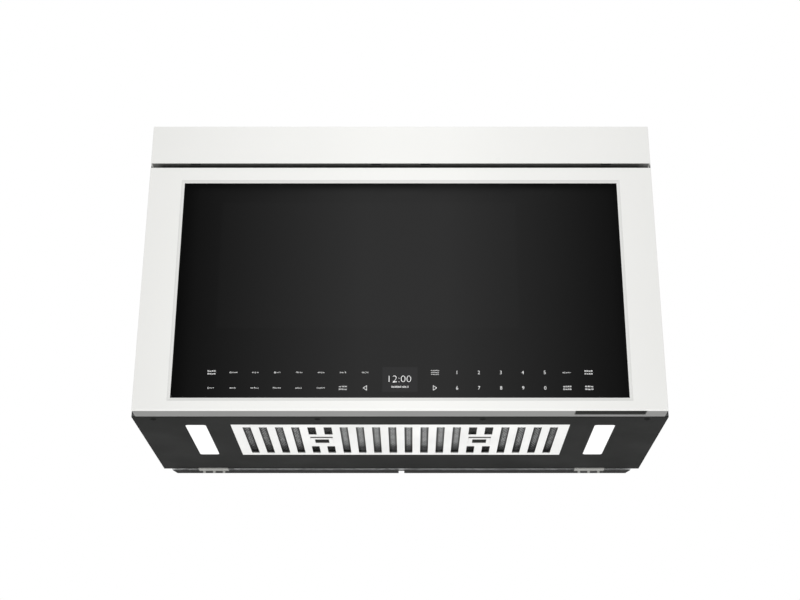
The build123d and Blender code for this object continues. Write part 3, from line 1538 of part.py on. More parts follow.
# Blower motor: in the middle, on a foot that stands in the housing.
foot_half = blower_motor_half / 2
foot_reach = blower_motor_radius / 2
with BuildPart() as blower_motor:
    along_x(blower_y, blower_z, -blower_motor_half, blower_motor_half, blower_motor_radius)
    block(
        -foot_half, foot_half, blower_y - foot_reach, blower_y + foot_reach,
        blower_z - scroll_radius + motor_foot_gap, blower_z,
    )
    along_x(
        blower_y, blower_z, -blower_motor_half, blower_motor_half, motor_shaft + running,
        mode=Mode.SUBTRACT,
    )
blower_motor.part.label = "blower_motor"
export_step(blower_motor.part, "parts/blower_motor.step")

# Exhaust adapter: flanged collar on the machine's top that takes a 3 1/4 by 10 inch duct.
flange_top = height + adapter_sheet
flap_rear = outlet_y + collar_depth / 2 - collar_wall - flap_clear
flap_front = outlet_y - collar_depth / 2 + collar_wall + flap_clear
flap_half = collar_width / 2 - collar_wall - flap_clear
flap_y = flap_rear - flap_edge
flap_z = height + flap_height
with BuildPart() as exhaust_adapter:
    with BuildSketch(Plane.XY.offset(height)):
        with Locations((0, outlet_y)):
            Rectangle(collar_width + 2 * adapter_flange, collar_depth + 2 * adapter_flange)
    extrude(amount=adapter_sheet)
    with BuildSketch(Plane.XY.offset(flange_top)):
        with Locations((0, outlet_y)):
            Rectangle(collar_width, collar_depth)
    extrude(amount=collar_height)
    with BuildSketch(Plane.XY.offset(height)):
        with Locations((0, outlet_y)):
            Rectangle(collar_width - 2 * collar_wall, collar_depth - 2 * collar_wall)
    extrude(amount=adapter_sheet + collar_height, mode=Mode.SUBTRACT)
    along_x(flap_y, flap_z, -collar_width / 2, collar_width / 2, flap_pin + running, mode=Mode.SUBTRACT)
exhaust_adapter.part.label = "exhaust_adapter"
export_step(exhaust_adapter.part, "parts/exhaust_adapter.step")

# Damper flap: swings up on two pins when the blower runs.
with BuildPart() as damper_flap:
    block(-flap_half, flap_half, flap_front, flap_rear, flap_z - flap_sheet / 2, flap_z + flap_sheet / 2)
    along_x(flap_y, flap_z, -collar_width / 2, collar_width / 2, flap_pin)
damper_flap.part.label = "damper_flap"
export_step(damper_flap.part, "parts/damper_flap.step")
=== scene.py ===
import math

import bpy
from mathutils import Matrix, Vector


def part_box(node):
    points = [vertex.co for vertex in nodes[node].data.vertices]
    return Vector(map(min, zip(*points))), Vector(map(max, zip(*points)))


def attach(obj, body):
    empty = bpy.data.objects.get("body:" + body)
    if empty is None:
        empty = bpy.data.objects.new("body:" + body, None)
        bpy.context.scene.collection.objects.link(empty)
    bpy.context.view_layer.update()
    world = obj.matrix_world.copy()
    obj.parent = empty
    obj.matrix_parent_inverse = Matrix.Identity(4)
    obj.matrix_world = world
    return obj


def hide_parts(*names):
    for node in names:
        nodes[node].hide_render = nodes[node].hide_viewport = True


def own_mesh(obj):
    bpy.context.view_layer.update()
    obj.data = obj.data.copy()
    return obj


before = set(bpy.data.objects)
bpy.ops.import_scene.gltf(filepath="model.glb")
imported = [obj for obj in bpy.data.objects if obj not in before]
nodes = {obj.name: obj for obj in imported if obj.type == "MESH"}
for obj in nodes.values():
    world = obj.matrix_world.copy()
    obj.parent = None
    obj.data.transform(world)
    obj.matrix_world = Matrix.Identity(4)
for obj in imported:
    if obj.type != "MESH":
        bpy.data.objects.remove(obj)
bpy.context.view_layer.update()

# ------------------------------------------------------------------ camera and studio
# The machine hangs on a wall at eye height, and the camera looks up at it from below and in front.
scene = bpy.context.scene
scene.view_settings.view_transform = "Standard"
sight = bpy.data.cameras.new("camera")
sight.lens = 66.0
sight.shift_x = -0.0146
sight.shift_y = -0.125
sight.clip_start = 0.01
camera = bpy.data.objects.new("camera", sight)
camera.location = (0.01646, -2.33478, -0.56451)
camera.rotation_euler = (math.radians(114.037), 0.0, 0.0)
scene.collection.objects.link(camera)
scene.camera = camera


def put(tree, kind, inputs=None, **options):
    """Adds a shader node: options are its settings, inputs are values or other nodes' outputs."""
    made = tree.nodes.new(kind)
    for name, value in options.items():
        setattr(made, name, value)
    for name, value in (inputs or {}).items():
        if isinstance(value, bpy.types.NodeSocket):
            tree.links.new(value, made.inputs[name])
        else:
            made.inputs[name].default_value = value
    return made


def sums(tree, operation, first, second, third=0.0):
    """One step of arithmetic on two or three values."""
    return put(
        tree, "ShaderNodeMath", {0: first, 1: second, 2: third}, operation=operation
    ).outputs[0]


# White behind the machine and in its reflections, and a plain level of light from all round.
world = bpy.data.worlds.new("studio")
world.use_nodes = True
scene.world = world
ray = put(world.node_tree, "ShaderNodeLightPath").outputs
seen = sums(world.node_tree, "MAXIMUM", ray["Is Camera Ray"], ray["Is Glossy Ray"])
seen = sums(world.node_tree, "MAXIMUM", seen, ray["Is Transmission Ray"])
plain_level = 0.74
level = sums(world.node_tree, "MULTIPLY_ADD", seen, 1.0 - plain_level, plain_level)
background = world.node_tree.nodes["Background"]
background.inputs["Color"].default_value = (1.0, 1.0, 1.0, 1.0)
world.node_tree.links.new(level, background.inputs["Strength"])


def soft_light(name, power, place, target, size_x, size_y):
    """Rectangular lamp that shines at a point and doesn't show itself."""
    lamp = bpy.data.lights.new(name, "AREA")
    lamp.shape = "RECTANGLE"
    lamp.size = size_x
    lamp.size_y = size_y
    lamp.energy = power
    holder = bpy.data.objects.new(name, lamp)
    holder.location = place
    holder.rotation_euler = (Vector(target) - Vector(place)).to_track_quat("-Z", "Y").to_euler()
    holder.visible_camera = False
    holder.visible_glossy = False
    scene.collection.objects.link(holder)


soft_light("front_light", power=4.3, place=(0.0, -1.0555, 0.2), target=(0.0, -0.3555, 0.2),
           size_x=0.25, size_y=2.4)
soft_light("under_light", power=4.8, place=(0.0, -0.3555, -0.9), target=(0.0, -0.2055, 0.0),
           size_x=1.2, size_y=0.6)


def shift(tree, value, low, high, to_low=0.0, to_high=1.0, kind="LINEAR"):
    """Maps one range of values to another."""
    return put(tree, "ShaderNodeMapRange", {
        "Value": value, "From Min": low, "From Max": high, "To Min": to_low, "To Max": to_high,
    }, interpolation_type=kind).outputs[0]


def eased(tree, value, low, high, to_low=0.0, to_high=1.0):
    """Maps one range of values to another, with soft ends."""
    return shift(tree, value, low, high, to_low, to_high, "SMOOTHSTEP")


# Card in front of the door: the glass shows it as a glow in its middle that fades to dark sides.
card_y = -1.4055
card_low = 0.10
card_high = 1.30
card_half = 0.85
fade_from = 0.6                # the card fades out towards its edges
fade_foot = 0.15
fade_head = 0.2
glow_inner = 0.09
glow_outer = 0.45
glow_high = 0.64
glow_low = 0.13
glow_side = 0.505              # the glass's sides mirror the card out to here
side_least = 0.15
glow_top_low = 0.811           # and its top rows from here up
glow_top_high = 0.834
top_least = 0.05
rail_from = glow_top_high + 0.006
rail_full = 0.870              # the white rail above the glass sees the card again
bpy.ops.object.select_all(action="DESELECT")
bpy.ops.mesh.primitive_plane_add(size=1.0, location=(0.0, card_y, (card_low + card_high) / 2))
card = bpy.context.object
card.name = "reflection_card"
card.scale = (2 * card_half, card_high - card_low, 1.0)
card.rotation_euler = (math.radians(90), 0.0, 0.0)
bpy.ops.object.transform_apply(location=True, rotation=True, scale=True)
glow = bpy.data.materials.new("card_glow")
glow.use_nodes = True
tree = glow.node_tree
tree.nodes.clear()
on_card = put(tree, "ShaderNodeTexCoord").outputs["Object"]
place = put(tree, "ShaderNodeSeparateXYZ", {0: on_card}).outputs
across = sums(tree, "ABSOLUTE", place["X"], 0.0)
strength = shift(tree, across, glow_inner, glow_outer, glow_high, glow_low)
at_sides = eased(tree, across, glow_outer, glow_side, 1.0, side_least)
at_top = eased(tree, place["Z"], glow_top_low, glow_top_high, 1.0, top_least)
at_top = sums(tree, "MAXIMUM", at_top, eased(tree, place["Z"], rail_from, rail_full))
strength = sums(tree, "MULTIPLY", sums(tree, "MULTIPLY", strength, at_sides), at_top)
fade_x = eased(tree, across, fade_from, card_half, 1.0, 0.0)
fade_low = eased(tree, place["Z"], card_low, card_low + fade_foot)
fade_high = eased(tree, place["Z"], card_high - fade_head, card_high, 1.0, 0.0)
cover = sums(tree, "MULTIPLY", sums(tree, "MULTIPLY", fade_x, fade_low), fade_high)
light = put(tree, "ShaderNodeEmission", {"Color": (1.0, 1.0, 1.0, 1.0), "Strength": strength})
clear = put(tree, "ShaderNodeBsdfTransparent")
both = put(tree, "ShaderNodeMixShader", {0: cover, 1: clear.outputs[0], 2: light.outputs[0]})
put(tree, "ShaderNodeOutputMaterial", {"Surface": both.outputs[0]})
card.data.materials.append(glow)
for kind in ("camera", "diffuse", "transmission", "volume_scatter", "shadow"):
    setattr(card, "visible_" + kind, False)

# Pale floor, a long way under the machine.
floor_z = -2.45
bpy.ops.object.select_all(action="DESELECT")
bpy.ops.mesh.primitive_plane_add(size=16.0, location=(0.0, 0.0, floor_z))
floor = bpy.context.object
floor.name = "floor"
bpy.ops.object.transform_apply(location=True)
pale = bpy.data.materials.new("pale_floor")
pale.use_nodes = True
pale.node_tree.nodes["Principled BSDF"].inputs["Base Color"].default_value = (0.82, 0.82, 0.81, 1.0)
pale.node_tree.nodes["Principled BSDF"].inputs["Roughness"].default_value = 0.8
floor.data.materials.append(pale)


# ------------------------------------------------------------------ cabinet panels
# Sides, top and base are sheet steel, folded and finished in a fine textured charcoal powder coat
# that drifts a little in colour and gloss.
def object_place(tree, stretch=(1.0, 1.0, 1.0)):
    """The piece's own coordinates in metres, stretched along an axis where a finish has a grain."""
    place = put(tree, "ShaderNodeTexCoord").outputs["Object"]
    return put(tree, "ShaderNodeMapping", {"Vector": place, "Scale": stretch}).outputs[0]


def noise(tree, place, size, detail=2.0, roughness=0.5, distortion=0.0):
    """Even noise whose lumps are about size metres across."""
    return put(tree, "ShaderNodeTexNoise", {
        "Vector": place, "Scale": 1.0 / size, "Detail": detail,
        "Roughness": roughness, "Distortion": distortion,
    }).outputs[0]


def ramp(tree, factor, *stops):
    """Colour ramp: each stop is a place from 0 to 1 and a colour or a grey level."""
    made = put(tree, "ShaderNodeValToRGB", {0: factor})
    band = made.color_ramp.elements
    while len(band) < len(stops):
        band.new(0.5)
    for element, (position, colour) in zip(band, stops):
        element.position = position
        level = colour if isinstance(colour, tuple) else (colour, colour, colour)
        element.color = (*level, 1.0)
    return made.outputs[0]


def layered(tree, factor, first, second):
    """Mixes two colours or colour outputs."""
    return put(
        tree, "ShaderNodeMix", {0: factor, 6: first, 7: second}, data_type="RGBA"
    ).outputs[2]


def bumped(tree, height, depth, strength=1.0):
    """Bump of a real depth in metres."""
    inputs = {"Height": height, "Distance": depth, "Strength": strength}
    return put(tree, "ShaderNodeBump", inputs).outputs[0]


def shader_of(name):
    """A new material, its tree and its shader."""
    material = bpy.data.materials.new(name)
    material.use_nodes = True
    return material, material.node_tree, material.node_tree.nodes["Principled BSDF"]


def wire(tree, shader, **links):
    """Links outputs to the shader's sockets, whose names are written with underscores."""
    for name, output in links.items():
        tree.links.new(output, shader.inputs[name.replace("_", " ").title()])


def coat(thing, material):
    """Gives one object a finish as its only material."""
    thing.data.materials.clear()
    thing.data.materials.append(material)


def dress(material, *names):
    """Gives CAD nodes a finish."""
    for name in names:
        coat(nodes[name], material)


def powder_coat(name, colour, grain, depth, roughness=0.55, sheen_spread=0.08):
    """Baked powder coat: pebbled at the size of its grain, with slow drift in colour and gloss."""
    material, tree, shader = shader_of(name)
    place = object_place(tree)
    slow = noise(tree, place, 0.12, detail=4.0)
    pebbles = noise(tree, place, grain, detail=3.0, roughness=0.6)
    darker = tuple(0.90 * part for part in colour)
    lighter = tuple(min(1.0, 1.06 * part) for part in colour)
    tone = ramp(tree, slow, (0.30, darker), (0.70, lighter))
    speck = ramp(tree, pebbles, (0.42, 0.94), (0.60, 1.0))
    tone = put(tree, "ShaderNodeMix", {0: 1.0, 6: tone, 7: speck}, data_type="RGBA",
               blend_type="MULTIPLY").outputs[2]
    gloss = shift(tree, slow, 0.3, 0.7, roughness - sheen_spread, roughness + sheen_spread)
    wire(tree, shader, base_color=tone, roughness=gloss, normal=bumped(tree, pebbles, depth))
    return material


charcoal_coat = powder_coat(
    "charcoal_powder_coat", (0.0152, 0.0156, 0.0151), grain=0.0016, depth=0.00012, roughness=0.66)
charcoal_coat.node_tree.nodes["Principled BSDF"].inputs["Specular IOR Level"].default_value = 0.07
dress(charcoal_coat, "side_panels", "top_panel", "base_plate")

# Face plate: the painted front wall behind the door, satin dark grey.
face_paint = powder_coat(
    "face_plate_paint", (0.10, 0.10, 0.10), grain=0.0024, depth=0.00006, roughness=0.42)
dress(face_paint, "face_plate")


# ------------------------------------------------------------------ zinc coated sheet
# Back panel, shelf, ducts and flap are galvanised sheet: crystals of zinc a few millimetres
# across, each with its own grey, under a thin dull film.
def spangle(name, colour, crystal=0.006, roughness=0.36):
    """Hot-dip galvanised steel."""
    material, tree, shader = shader_of(name)
    place = object_place(tree)
    warp = noise(tree, place, 0.010, detail=2.0)
    warp = put(tree, "ShaderNodeVectorMath", {0: warp, 3: 0.004}, operation="SCALE").outputs[0]
    bent = put(tree, "ShaderNodeVectorMath", {0: place, 1: warp}, operation="ADD").outputs[0]
    cells = put(
        tree, "ShaderNodeTexVoronoi", {"Vector": bent, "Scale": 1.0 / crystal}
    ).outputs["Color"]
    facet = put(tree, "ShaderNodeSeparateColor", {0: cells}).outputs[0]
    film = noise(tree, place, 0.05, detail=5.0)
    low = tuple(0.80 * part for part in colour)
    high = tuple(min(1.0, 1.15 * part) for part in colour)
    tone = ramp(tree, facet, (0.0, low), (1.0, high))
    dulled = layered(tree, shift(tree, film, 0.40, 0.75, 0.0, 0.45), tone, (*low, 1.0))
    gloss = shift(tree, facet, 0.0, 1.0, roughness - 0.07, roughness + 0.12)
    wire(tree, shader, base_color=dulled, roughness=gloss,
         normal=bumped(tree, facet, 0.00002, strength=0.6))
    shader.inputs["Metallic"].default_value = 0.85
    return material


galvanised = spangle("galvanised_sheet", (0.55, 0.56, 0.57))
dress(
    galvanised, "back_panel", "waveguide", "stirrer_motor", "component_shelf", "magnetron",
    "convection_housing", "blower_housing", "exhaust_adapter", "damper_flap",
)


# ------------------------------------------------------------------ plated and bare metal
# Tabs, hinge brackets and blocks, cut-outs, nuts and screws are zinc plated. Hinge pins, stirrer
# and convection fan are bare ground steel, and the wall plate is phosphated black.
def metal(name, colour, roughness, brush=(1.0, 1.0, 1.0), size=0.0008, depth=0.00001, metallic=1.0):
    """Plated or bare metal with a fine lay along the axis that brush stretches least."""
    material, tree, shader = shader_of(name)
    lay = noise(tree, object_place(tree, brush), size, detail=3.0, roughness=0.6)
    stain = noise(tree, object_place(tree), 0.025, detail=4.0)
    low = tuple(0.82 * part for part in colour)
    tone = ramp(tree, lay, (0.3, low), (0.65, colour))
    stained = layered(tree, shift(tree, stain, 0.45, 0.75, 0.0, 0.35), tone, (*low, 1.0))
    gloss = shift(tree, stain, 0.3, 0.7, roughness - 0.05, roughness + 0.10)
    wire(tree, shader, base_color=stained, roughness=gloss, normal=bumped(tree, lay, depth))
    shader.inputs["Metallic"].default_value = metallic
    return material


bright_zinc = metal("bright_zinc_plate", (0.66, 0.66, 0.64), 0.34, brush=(1.0, 6.0, 6.0))
dress(bright_zinc, "cabinet_nuts", "back_screws", "hinge_brackets", "thermal_cutouts",
      "hinge_blocks")
dull_zinc = metal("dull_zinc_plate", (0.54, 0.54, 0.52), 0.45,
                  size=0.0012, depth=0.00006, metallic=0.4)
dress(dull_zinc, "support_tabs")
ground_steel = metal("ground_steel", (0.60, 0.60, 0.60), 0.28, brush=(6.0, 6.0, 1.0))
dress(ground_steel, "hinge_pins", "stirrer", "convection_fan")
phosphate = metal("black_phosphate", (0.068, 0.068, 0.066), 0.60,
                  size=0.0015, depth=0.00003, metallic=0.35)
dress(phosphate, "wall_plate")

# Heater's sheath, oxidised by its own heat, and the capacitor's drawn can.
dress(metal("oxidised_sheath", (0.16, 0.145, 0.13), 0.42, size=0.003, metallic=0.8),
      "convection_heater")
dress(metal("drawn_can", (0.75, 0.75, 0.75), 0.26, brush=(8.0, 8.0, 1.0)), "capacitor")


# ------------------------------------------------------------------ motors and transformer
# Stacks of varnished steel laminations. The transformer's windings of lacquered copper stand out
# at both ends of its core.
laminations = metal("varnished_laminations", (0.30, 0.29, 0.28), 0.45, brush=(1.0, 1.0, 8.0),
                    size=0.0012, depth=0.00008, metallic=0.7)
dress(laminations, "cooling_fan_motor", "convection_motor", "blower_motor")


def spot_in(tree):
    """Where a point lies on its piece, along each axis in metres."""
    return put(tree, "ShaderNodeSeparateXYZ", {0: object_place(tree)}).outputs


def opened(material):
    """A finish's tree and shader, and its colour so far, to be built on."""
    shader = material.node_tree.nodes["Principled BSDF"]
    return material.node_tree, shader, shader.inputs["Base Color"].links[0].from_socket


coil_low, coil_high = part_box("transformer")
coil_middle = (coil_low.y + coil_high.y) / 2
core_half = 0.019
turn_pitch = 0.0012
wound = laminations.copy()
wound.name = "laminations_and_windings"
tree, shader, plain = opened(wound)
off_core = sums(tree, "ABSOLUTE", sums(tree, "SUBTRACT", spot_in(tree)["Y"], coil_middle), 0.0)
on_coil = sums(tree, "GREATER_THAN", off_core, core_half)
# Each turn of wire is painted dark at its sides and bright at its crest: painted shade between the
# turns and a painted highlight along them.
turns = sums(tree, "SINE", sums(tree, "MULTIPLY", off_core, 2 * math.pi / turn_pitch), 0.0)
turns = shift(tree, turns, -1.0, 1.0)
copper = ramp(tree, turns, (0.0, (0.16, 0.05, 0.02)), (0.6, (0.55, 0.23, 0.09)))
wire(tree, shader, base_color=layered(tree, on_coil, plain, copper))
dress(wound, "transformer")


# ------------------------------------------------------------------ moulded plastics
# Louvre, bushing, fans, switches, latch and choke cover are injection moulded, with a fine
# spark-eroded grain.
def moulded(name, colour, roughness=0.5, grain=0.0009, depth=0.00004):
    """Injection moulded plastic."""
    material, tree, shader = shader_of(name)
    place = object_place(tree)
    skin = noise(tree, place, grain, detail=2.0, roughness=0.55)
    flow = noise(tree, place, 0.06, detail=3.0)
    low = tuple(0.92 * part for part in colour)
    high = tuple(min(1.0, 1.05 * part) for part in colour)
    tone = ramp(tree, flow, (0.35, low), (0.65, high))
    gloss = shift(tree, flow, 0.3, 0.7, roughness - 0.06, roughness + 0.06)
    wire(tree, shader, base_color=tone, roughness=gloss, normal=bumped(tree, skin, depth))
    return material


black_moulding = moulded("black_moulding", (0.030, 0.030, 0.030))
dress(black_moulding, "cord_bushing", "microswitches", "fan_shroud", "choke_cover",
      "cooling_fan", "blower_wheels")
dress(moulded("grey_cup", (0.064, 0.065, 0.061), 0.55), "pull_cup")
dress(moulded("white_moulding", (0.80, 0.80, 0.78), 0.45), "latch_board", "cavity_lamp",
      "latch_lever")

# ------------------------------------------------------------------ vent louvre
# One long dark grey moulding, painted blacker behind its front band and at its four clip slots as
# painted shade. Daylight reaches it at the gap's open ends, and these ends are painted lighter as
# painted light, mottled by noise.
louvre_grey = moulded("louvre_moulding", (0.130, 0.130, 0.126), 0.6, grain=0.0015, depth=0.0001)
louvre_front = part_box("vent_louvre")[0].y
band_depth = 0.005
shade_depth = 0.015
clip_places = (0.037, 0.308)
clip_half = 0.0072
clip_depth = 0.0060
end_light_from = 0.356
end_light_full = 0.374
tree, shader, plain_louvre = opened(louvre_grey)
spot = spot_in(tree)
across = sums(tree, "ABSOLUTE", spot["X"], 0.0)
behind = shift(tree, spot["Y"], louvre_front + band_depth, louvre_front + shade_depth)
clip_shade = 0.0
for clip_x in clip_places:
    clip_shade = sums(tree, "MAXIMUM", clip_shade, sums(tree, "COMPARE", across, clip_x, clip_half))
clip_shade = sums(tree, "MULTIPLY", clip_shade, sums(tree, "LESS_THAN", spot["Y"], louvre_front + clip_depth))
# Painted shade: darker behind the front band and in the clip slots.
dark = sums(tree, "MAXIMUM", behind, clip_shade)
end_light_mottle = noise(tree, object_place(tree), 0.004, detail=3.0)
# Painted light: the open ends of the gap are painted lighter, mottled by noise.
painted_end_light = sums(tree, "MULTIPLY", shift(tree, across, end_light_from, end_light_full), end_light_mottle)
shaded = layered(tree, dark, plain_louvre, (0.016, 0.016, 0.016, 1.0))
wire(tree, shader, base_color=layered(tree, painted_end_light, shaded, (0.42, 0.42, 0.41, 1.0)))
dress(louvre_grey, "vent_louvre")


# ------------------------------------------------------------------ charcoal filter
# A flat pad of carbon granules held between two layers of fine mesh. It takes up smells and is
# exchanged when it is spent.
def specks(tree, per_metre, randomness=1.0):
    """Distance from the nearest of many points, spread evenly or in rows."""
    return put(tree, "ShaderNodeTexVoronoi", {
        "Vector": object_place(tree), "Scale": per_metre, "Randomness": randomness,
    }).outputs["Distance"]


granules_per_metre = 450.0
material, tree, shader = shader_of("carbon_granules")
grains = specks(tree, granules_per_metre)
wire(tree, shader, base_color=ramp(tree, grains, (0.1, 0.08), (0.6, 0.02)),
     normal=bumped(tree, grains, 0.0012))
shader.inputs["Roughness"].default_value = 0.75
dress(material, "charcoal_filter")

# ------------------------------------------------------------------ circuit boards
# Touch board, power board and lamp boards are sheets of glass fibre with copper tracks under a
# solder mask. The touch board's mask is green.
material, tree, shader = shader_of("solder_mask")
turned = put(tree, "ShaderNodeMapping", {
    "Vector": object_place(tree), "Rotation": (0.0, math.radians(90), math.radians(90)),
}).outputs[0]
tracks = put(tree, "ShaderNodeTexBrick", {
    "Vector": turned, "Scale": 1.0,
    "Mortar Size": 0.0006, "Brick Width": 0.014, "Row Height": 0.0035,
}).outputs["Fac"]
green = layered(tree, tracks, (0.030, 0.165, 0.075, 1.0), (0.055, 0.26, 0.12, 1.0))
wire(tree, shader, base_color=green, normal=bumped(tree, tracks, 0.00005))
shader.inputs["Roughness"].default_value = 0.35
dress(material, "touch_board")

# Power board: the same mask. Its relays are blue, its capacitors have black sleeves and tin tops,
# its heat sink is bare aluminium, and it stands on nylon pillars.
board_low, board_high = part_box("power_board")
pillar = 0.0140
board_thick = 0.0016
hair = 0.0001
sink_from_rear = 0.0445
sleeves_top = 0.0380
sleeve_length = 0.0215
populated = material.copy()
populated.name = "populated_board"
tree, shader, tone = opened(populated)
spot = spot_in(tree)
board_face = board_high.x - pillar - board_thick
pillars = sums(tree, "GREATER_THAN", spot["X"], board_high.x - pillar + hair)
parts = sums(tree, "LESS_THAN", spot["X"], board_face - hair)
tops = sums(tree, "LESS_THAN", spot["X"], board_face - sleeve_length)
low_row = sums(tree, "LESS_THAN", spot["Z"], board_low.z + sleeves_top)
by_rear = sums(tree, "GREATER_THAN", spot["Y"], board_high.y - sink_from_rear)
for where, colour in (
    (pillars, (0.62, 0.60, 0.52, 1.0)),
    (parts, (0.030, 0.070, 0.200, 1.0)),
    (sums(tree, "MULTIPLY", parts, low_row), (0.020, 0.020, 0.022, 1.0)),
    (sums(tree, "MULTIPLY", tops, low_row), (0.420, 0.420, 0.410, 1.0)),
    (sums(tree, "MULTIPLY", parts, by_rear), (0.480, 0.480, 0.470, 1.0)),
):
    tone = layered(tree, where, tone, colour)
wire(tree, shader, base_color=tone)
dress(populated, "power_board")

# Lamp boards are masked white, so that they throw the light forwards.
dress(moulded("white_solder_mask", (0.80, 0.81, 0.80), 0.4, grain=0.004, depth=0.00005),
      "lamp_boards")


# ------------------------------------------------------------------ white front parts
# Door frame and vent panel are pressed steel fronts in smooth baked white enamel, with a faint
# orange peel. The door's back cover wears a dark grey powder coat.
def enamel(name, colour, peel=0.0035, depth=0.000025, roughness=0.30):
    """Smooth baked enamel."""
    material, tree, shader = shader_of(name)
    place = object_place(tree)
    skin = noise(tree, place, peel, detail=1.5)
    slow = noise(tree, place, 0.20, detail=3.0)
    low = tuple(0.985 * part for part in colour)
    tone = ramp(tree, slow, (0.35, low), (0.65, colour))
    gloss = shift(tree, slow, 0.3, 0.7, roughness - 0.03, roughness + 0.04)
    wire(tree, shader, base_color=tone, roughness=gloss, normal=bumped(tree, skin, depth))
    return material


dress(enamel("baked_white_enamel", (0.86, 0.86, 0.84)), "vent_panel")

# The door's lower edge is painted grey on its faces that point down: painted shade on the white
# enamel, seen only from below. The lip that slopes down to the glass is painted greyer as painted
# shade, most at its outer edge. A dark band painted on the strip behind the pull cup is painted shade
# continuing the cup's recess further back.
door_white = enamel("door_white_enamel", (0.86, 0.86, 0.84))
cup_low, cup_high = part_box("pull_cup")
door_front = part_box("door_frame")[0].y
strip_height = 0.0008
strip_from = door_front + 0.0042
strip_full = strip_from + 0.001
strip_normal = -0.7            # faces that point down more than this belong to the strip
lip_normal = -0.95             # and those that lean like this, within the spread, to the lip
lip_spread = 0.035
lip_outer = door_front + 0.00015
lip_inner = door_front + 0.0014
lip_outer_shade = 0.21
lip_inner_shade = 0.11
recess_band_middle = (cup_low.x + cup_high.x) / 2
recess_band_half = (cup_high.x - cup_low.x) / 2 - 0.001
recess_band_rear = cup_high.y + 0.0027
tree, shader, white = opened(door_white)
spot = spot_in(tree)
facing = put(tree, "ShaderNodeSeparateXYZ", {0: put(tree, "ShaderNodeTexCoord").outputs["Normal"]})
# Painted shade: the lowest faces that point down are painted grey.
below = sums(tree, "LESS_THAN", facing.outputs["Z"], strip_normal)
lowest = sums(tree, "LESS_THAN", spot["Z"], strip_height)
rearwards = shift(tree, spot["Y"], strip_from, strip_full)
strip = sums(tree, "MULTIPLY", sums(tree, "MULTIPLY", below, lowest), rearwards)
# Painted shade on the sloping lip, greyer at its outer edge.
sloping = sums(tree, "COMPARE", facing.outputs["Y"], lip_normal, lip_spread)
into = shift(tree, spot["Y"], lip_outer, lip_inner, lip_outer_shade, lip_inner_shade)
into = sums(tree, "MULTIPLY", into, sums(tree, "GREATER_THAN", spot["Y"], lip_outer))
lip = sums(tree, "MULTIPLY", sloping, into)
lip_shaded_white = layered(tree, lip, white, (0.0, 0.0, 0.0, 1.0))
# Painted shade: a dark band on the strip behind the pull cup, continuing its recess.
recess_shade_band = sums(tree, "COMPARE", spot["X"], recess_band_middle, recess_band_half)
recess_shade_band = sums(tree, "MULTIPLY", recess_shade_band, sums(tree, "LESS_THAN", spot["Y"], recess_band_rear))
strip_shade_tone = layered(tree, recess_shade_band, (0.164, 0.164, 0.159, 1.0), (0.060, 0.061, 0.058, 1.0))
wire(tree, shader, base_color=layered(tree, strip, lip_shaded_white, strip_shade_tone))
dress(door_white, "door_frame")
back_coat = powder_coat(
    "door_back_coat", (0.13, 0.13, 0.13), grain=0.0012, depth=0.00005, roughness=0.45)
dress(back_coat, "door_back_cover")


# ------------------------------------------------------------------ choke panel
# Black enamelled steel round the door's rear window. Its middle is punched with fine holes, which
# let light through and keep microwaves in.
def punched(tree, place, pitch, radius, across=(1.0, 0.0, 0.0), up=(0.0, 0.0, 1.0)):
    """1 in the holes of a staggered punched pattern, and 0 on the sheet between them."""
    side, rise = [
        put(tree, "ShaderNodeVectorMath", {0: place, 1: axis}, operation="DOT_PRODUCT").outputs["Value"]
        for axis in (across, up)
    ]
    nearest = 1.0
    for stagger in (0.0, 0.5):
        squares = 0.0
        for value, cell in ((side, pitch), (rise, math.sqrt(3) * pitch)):
            turn = sums(tree, "FRACT", sums(tree, "MULTIPLY_ADD", value, 1.0 / cell, stagger), 0.0)
            away = sums(tree, "MULTIPLY", sums(tree, "SUBTRACT", turn, 0.5), cell)
            squares = sums(tree, "MULTIPLY_ADD", away, away, squares)
        nearest = sums(tree, "MINIMUM", nearest, sums(tree, "SQRT", squares, 0.0))
    return shift(tree, nearest, 0.9 * radius, 1.1 * radius, 1.0, 0.0)


window_low, window_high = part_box("inner_window")
view_inset = 0.004
choke_pitch = 0.0024
choke_hole = 0.00075
choke_coat = enamel("choke_enamel", (0.055, 0.055, 0.055), roughness=0.3)
tree, shader, plain = opened(choke_coat)
spot = spot_in(tree)
view = 1.0
for value, low, high in (
    (spot["X"], window_low.x, window_high.x), (spot["Z"], window_low.z, window_high.z),
):
    middle, half = (low + high) / 2, (high - low) / 2 - view_inset
    view = sums(tree, "MULTIPLY", view, sums(tree, "COMPARE", value, middle, half))
# The holes are painted near black with a small dent: painted shade of the dark door hollow seen through
# them.
holes = punched(tree, object_place(tree), choke_pitch, choke_hole)
holes = sums(tree, "MULTIPLY", view, holes)
wire(tree, shader, base_color=layered(tree, holes, plain, (0.002, 0.002, 0.002, 1.0)),
     normal=bumped(tree, holes, -0.0004))
dress(choke_coat, "choke_panel")

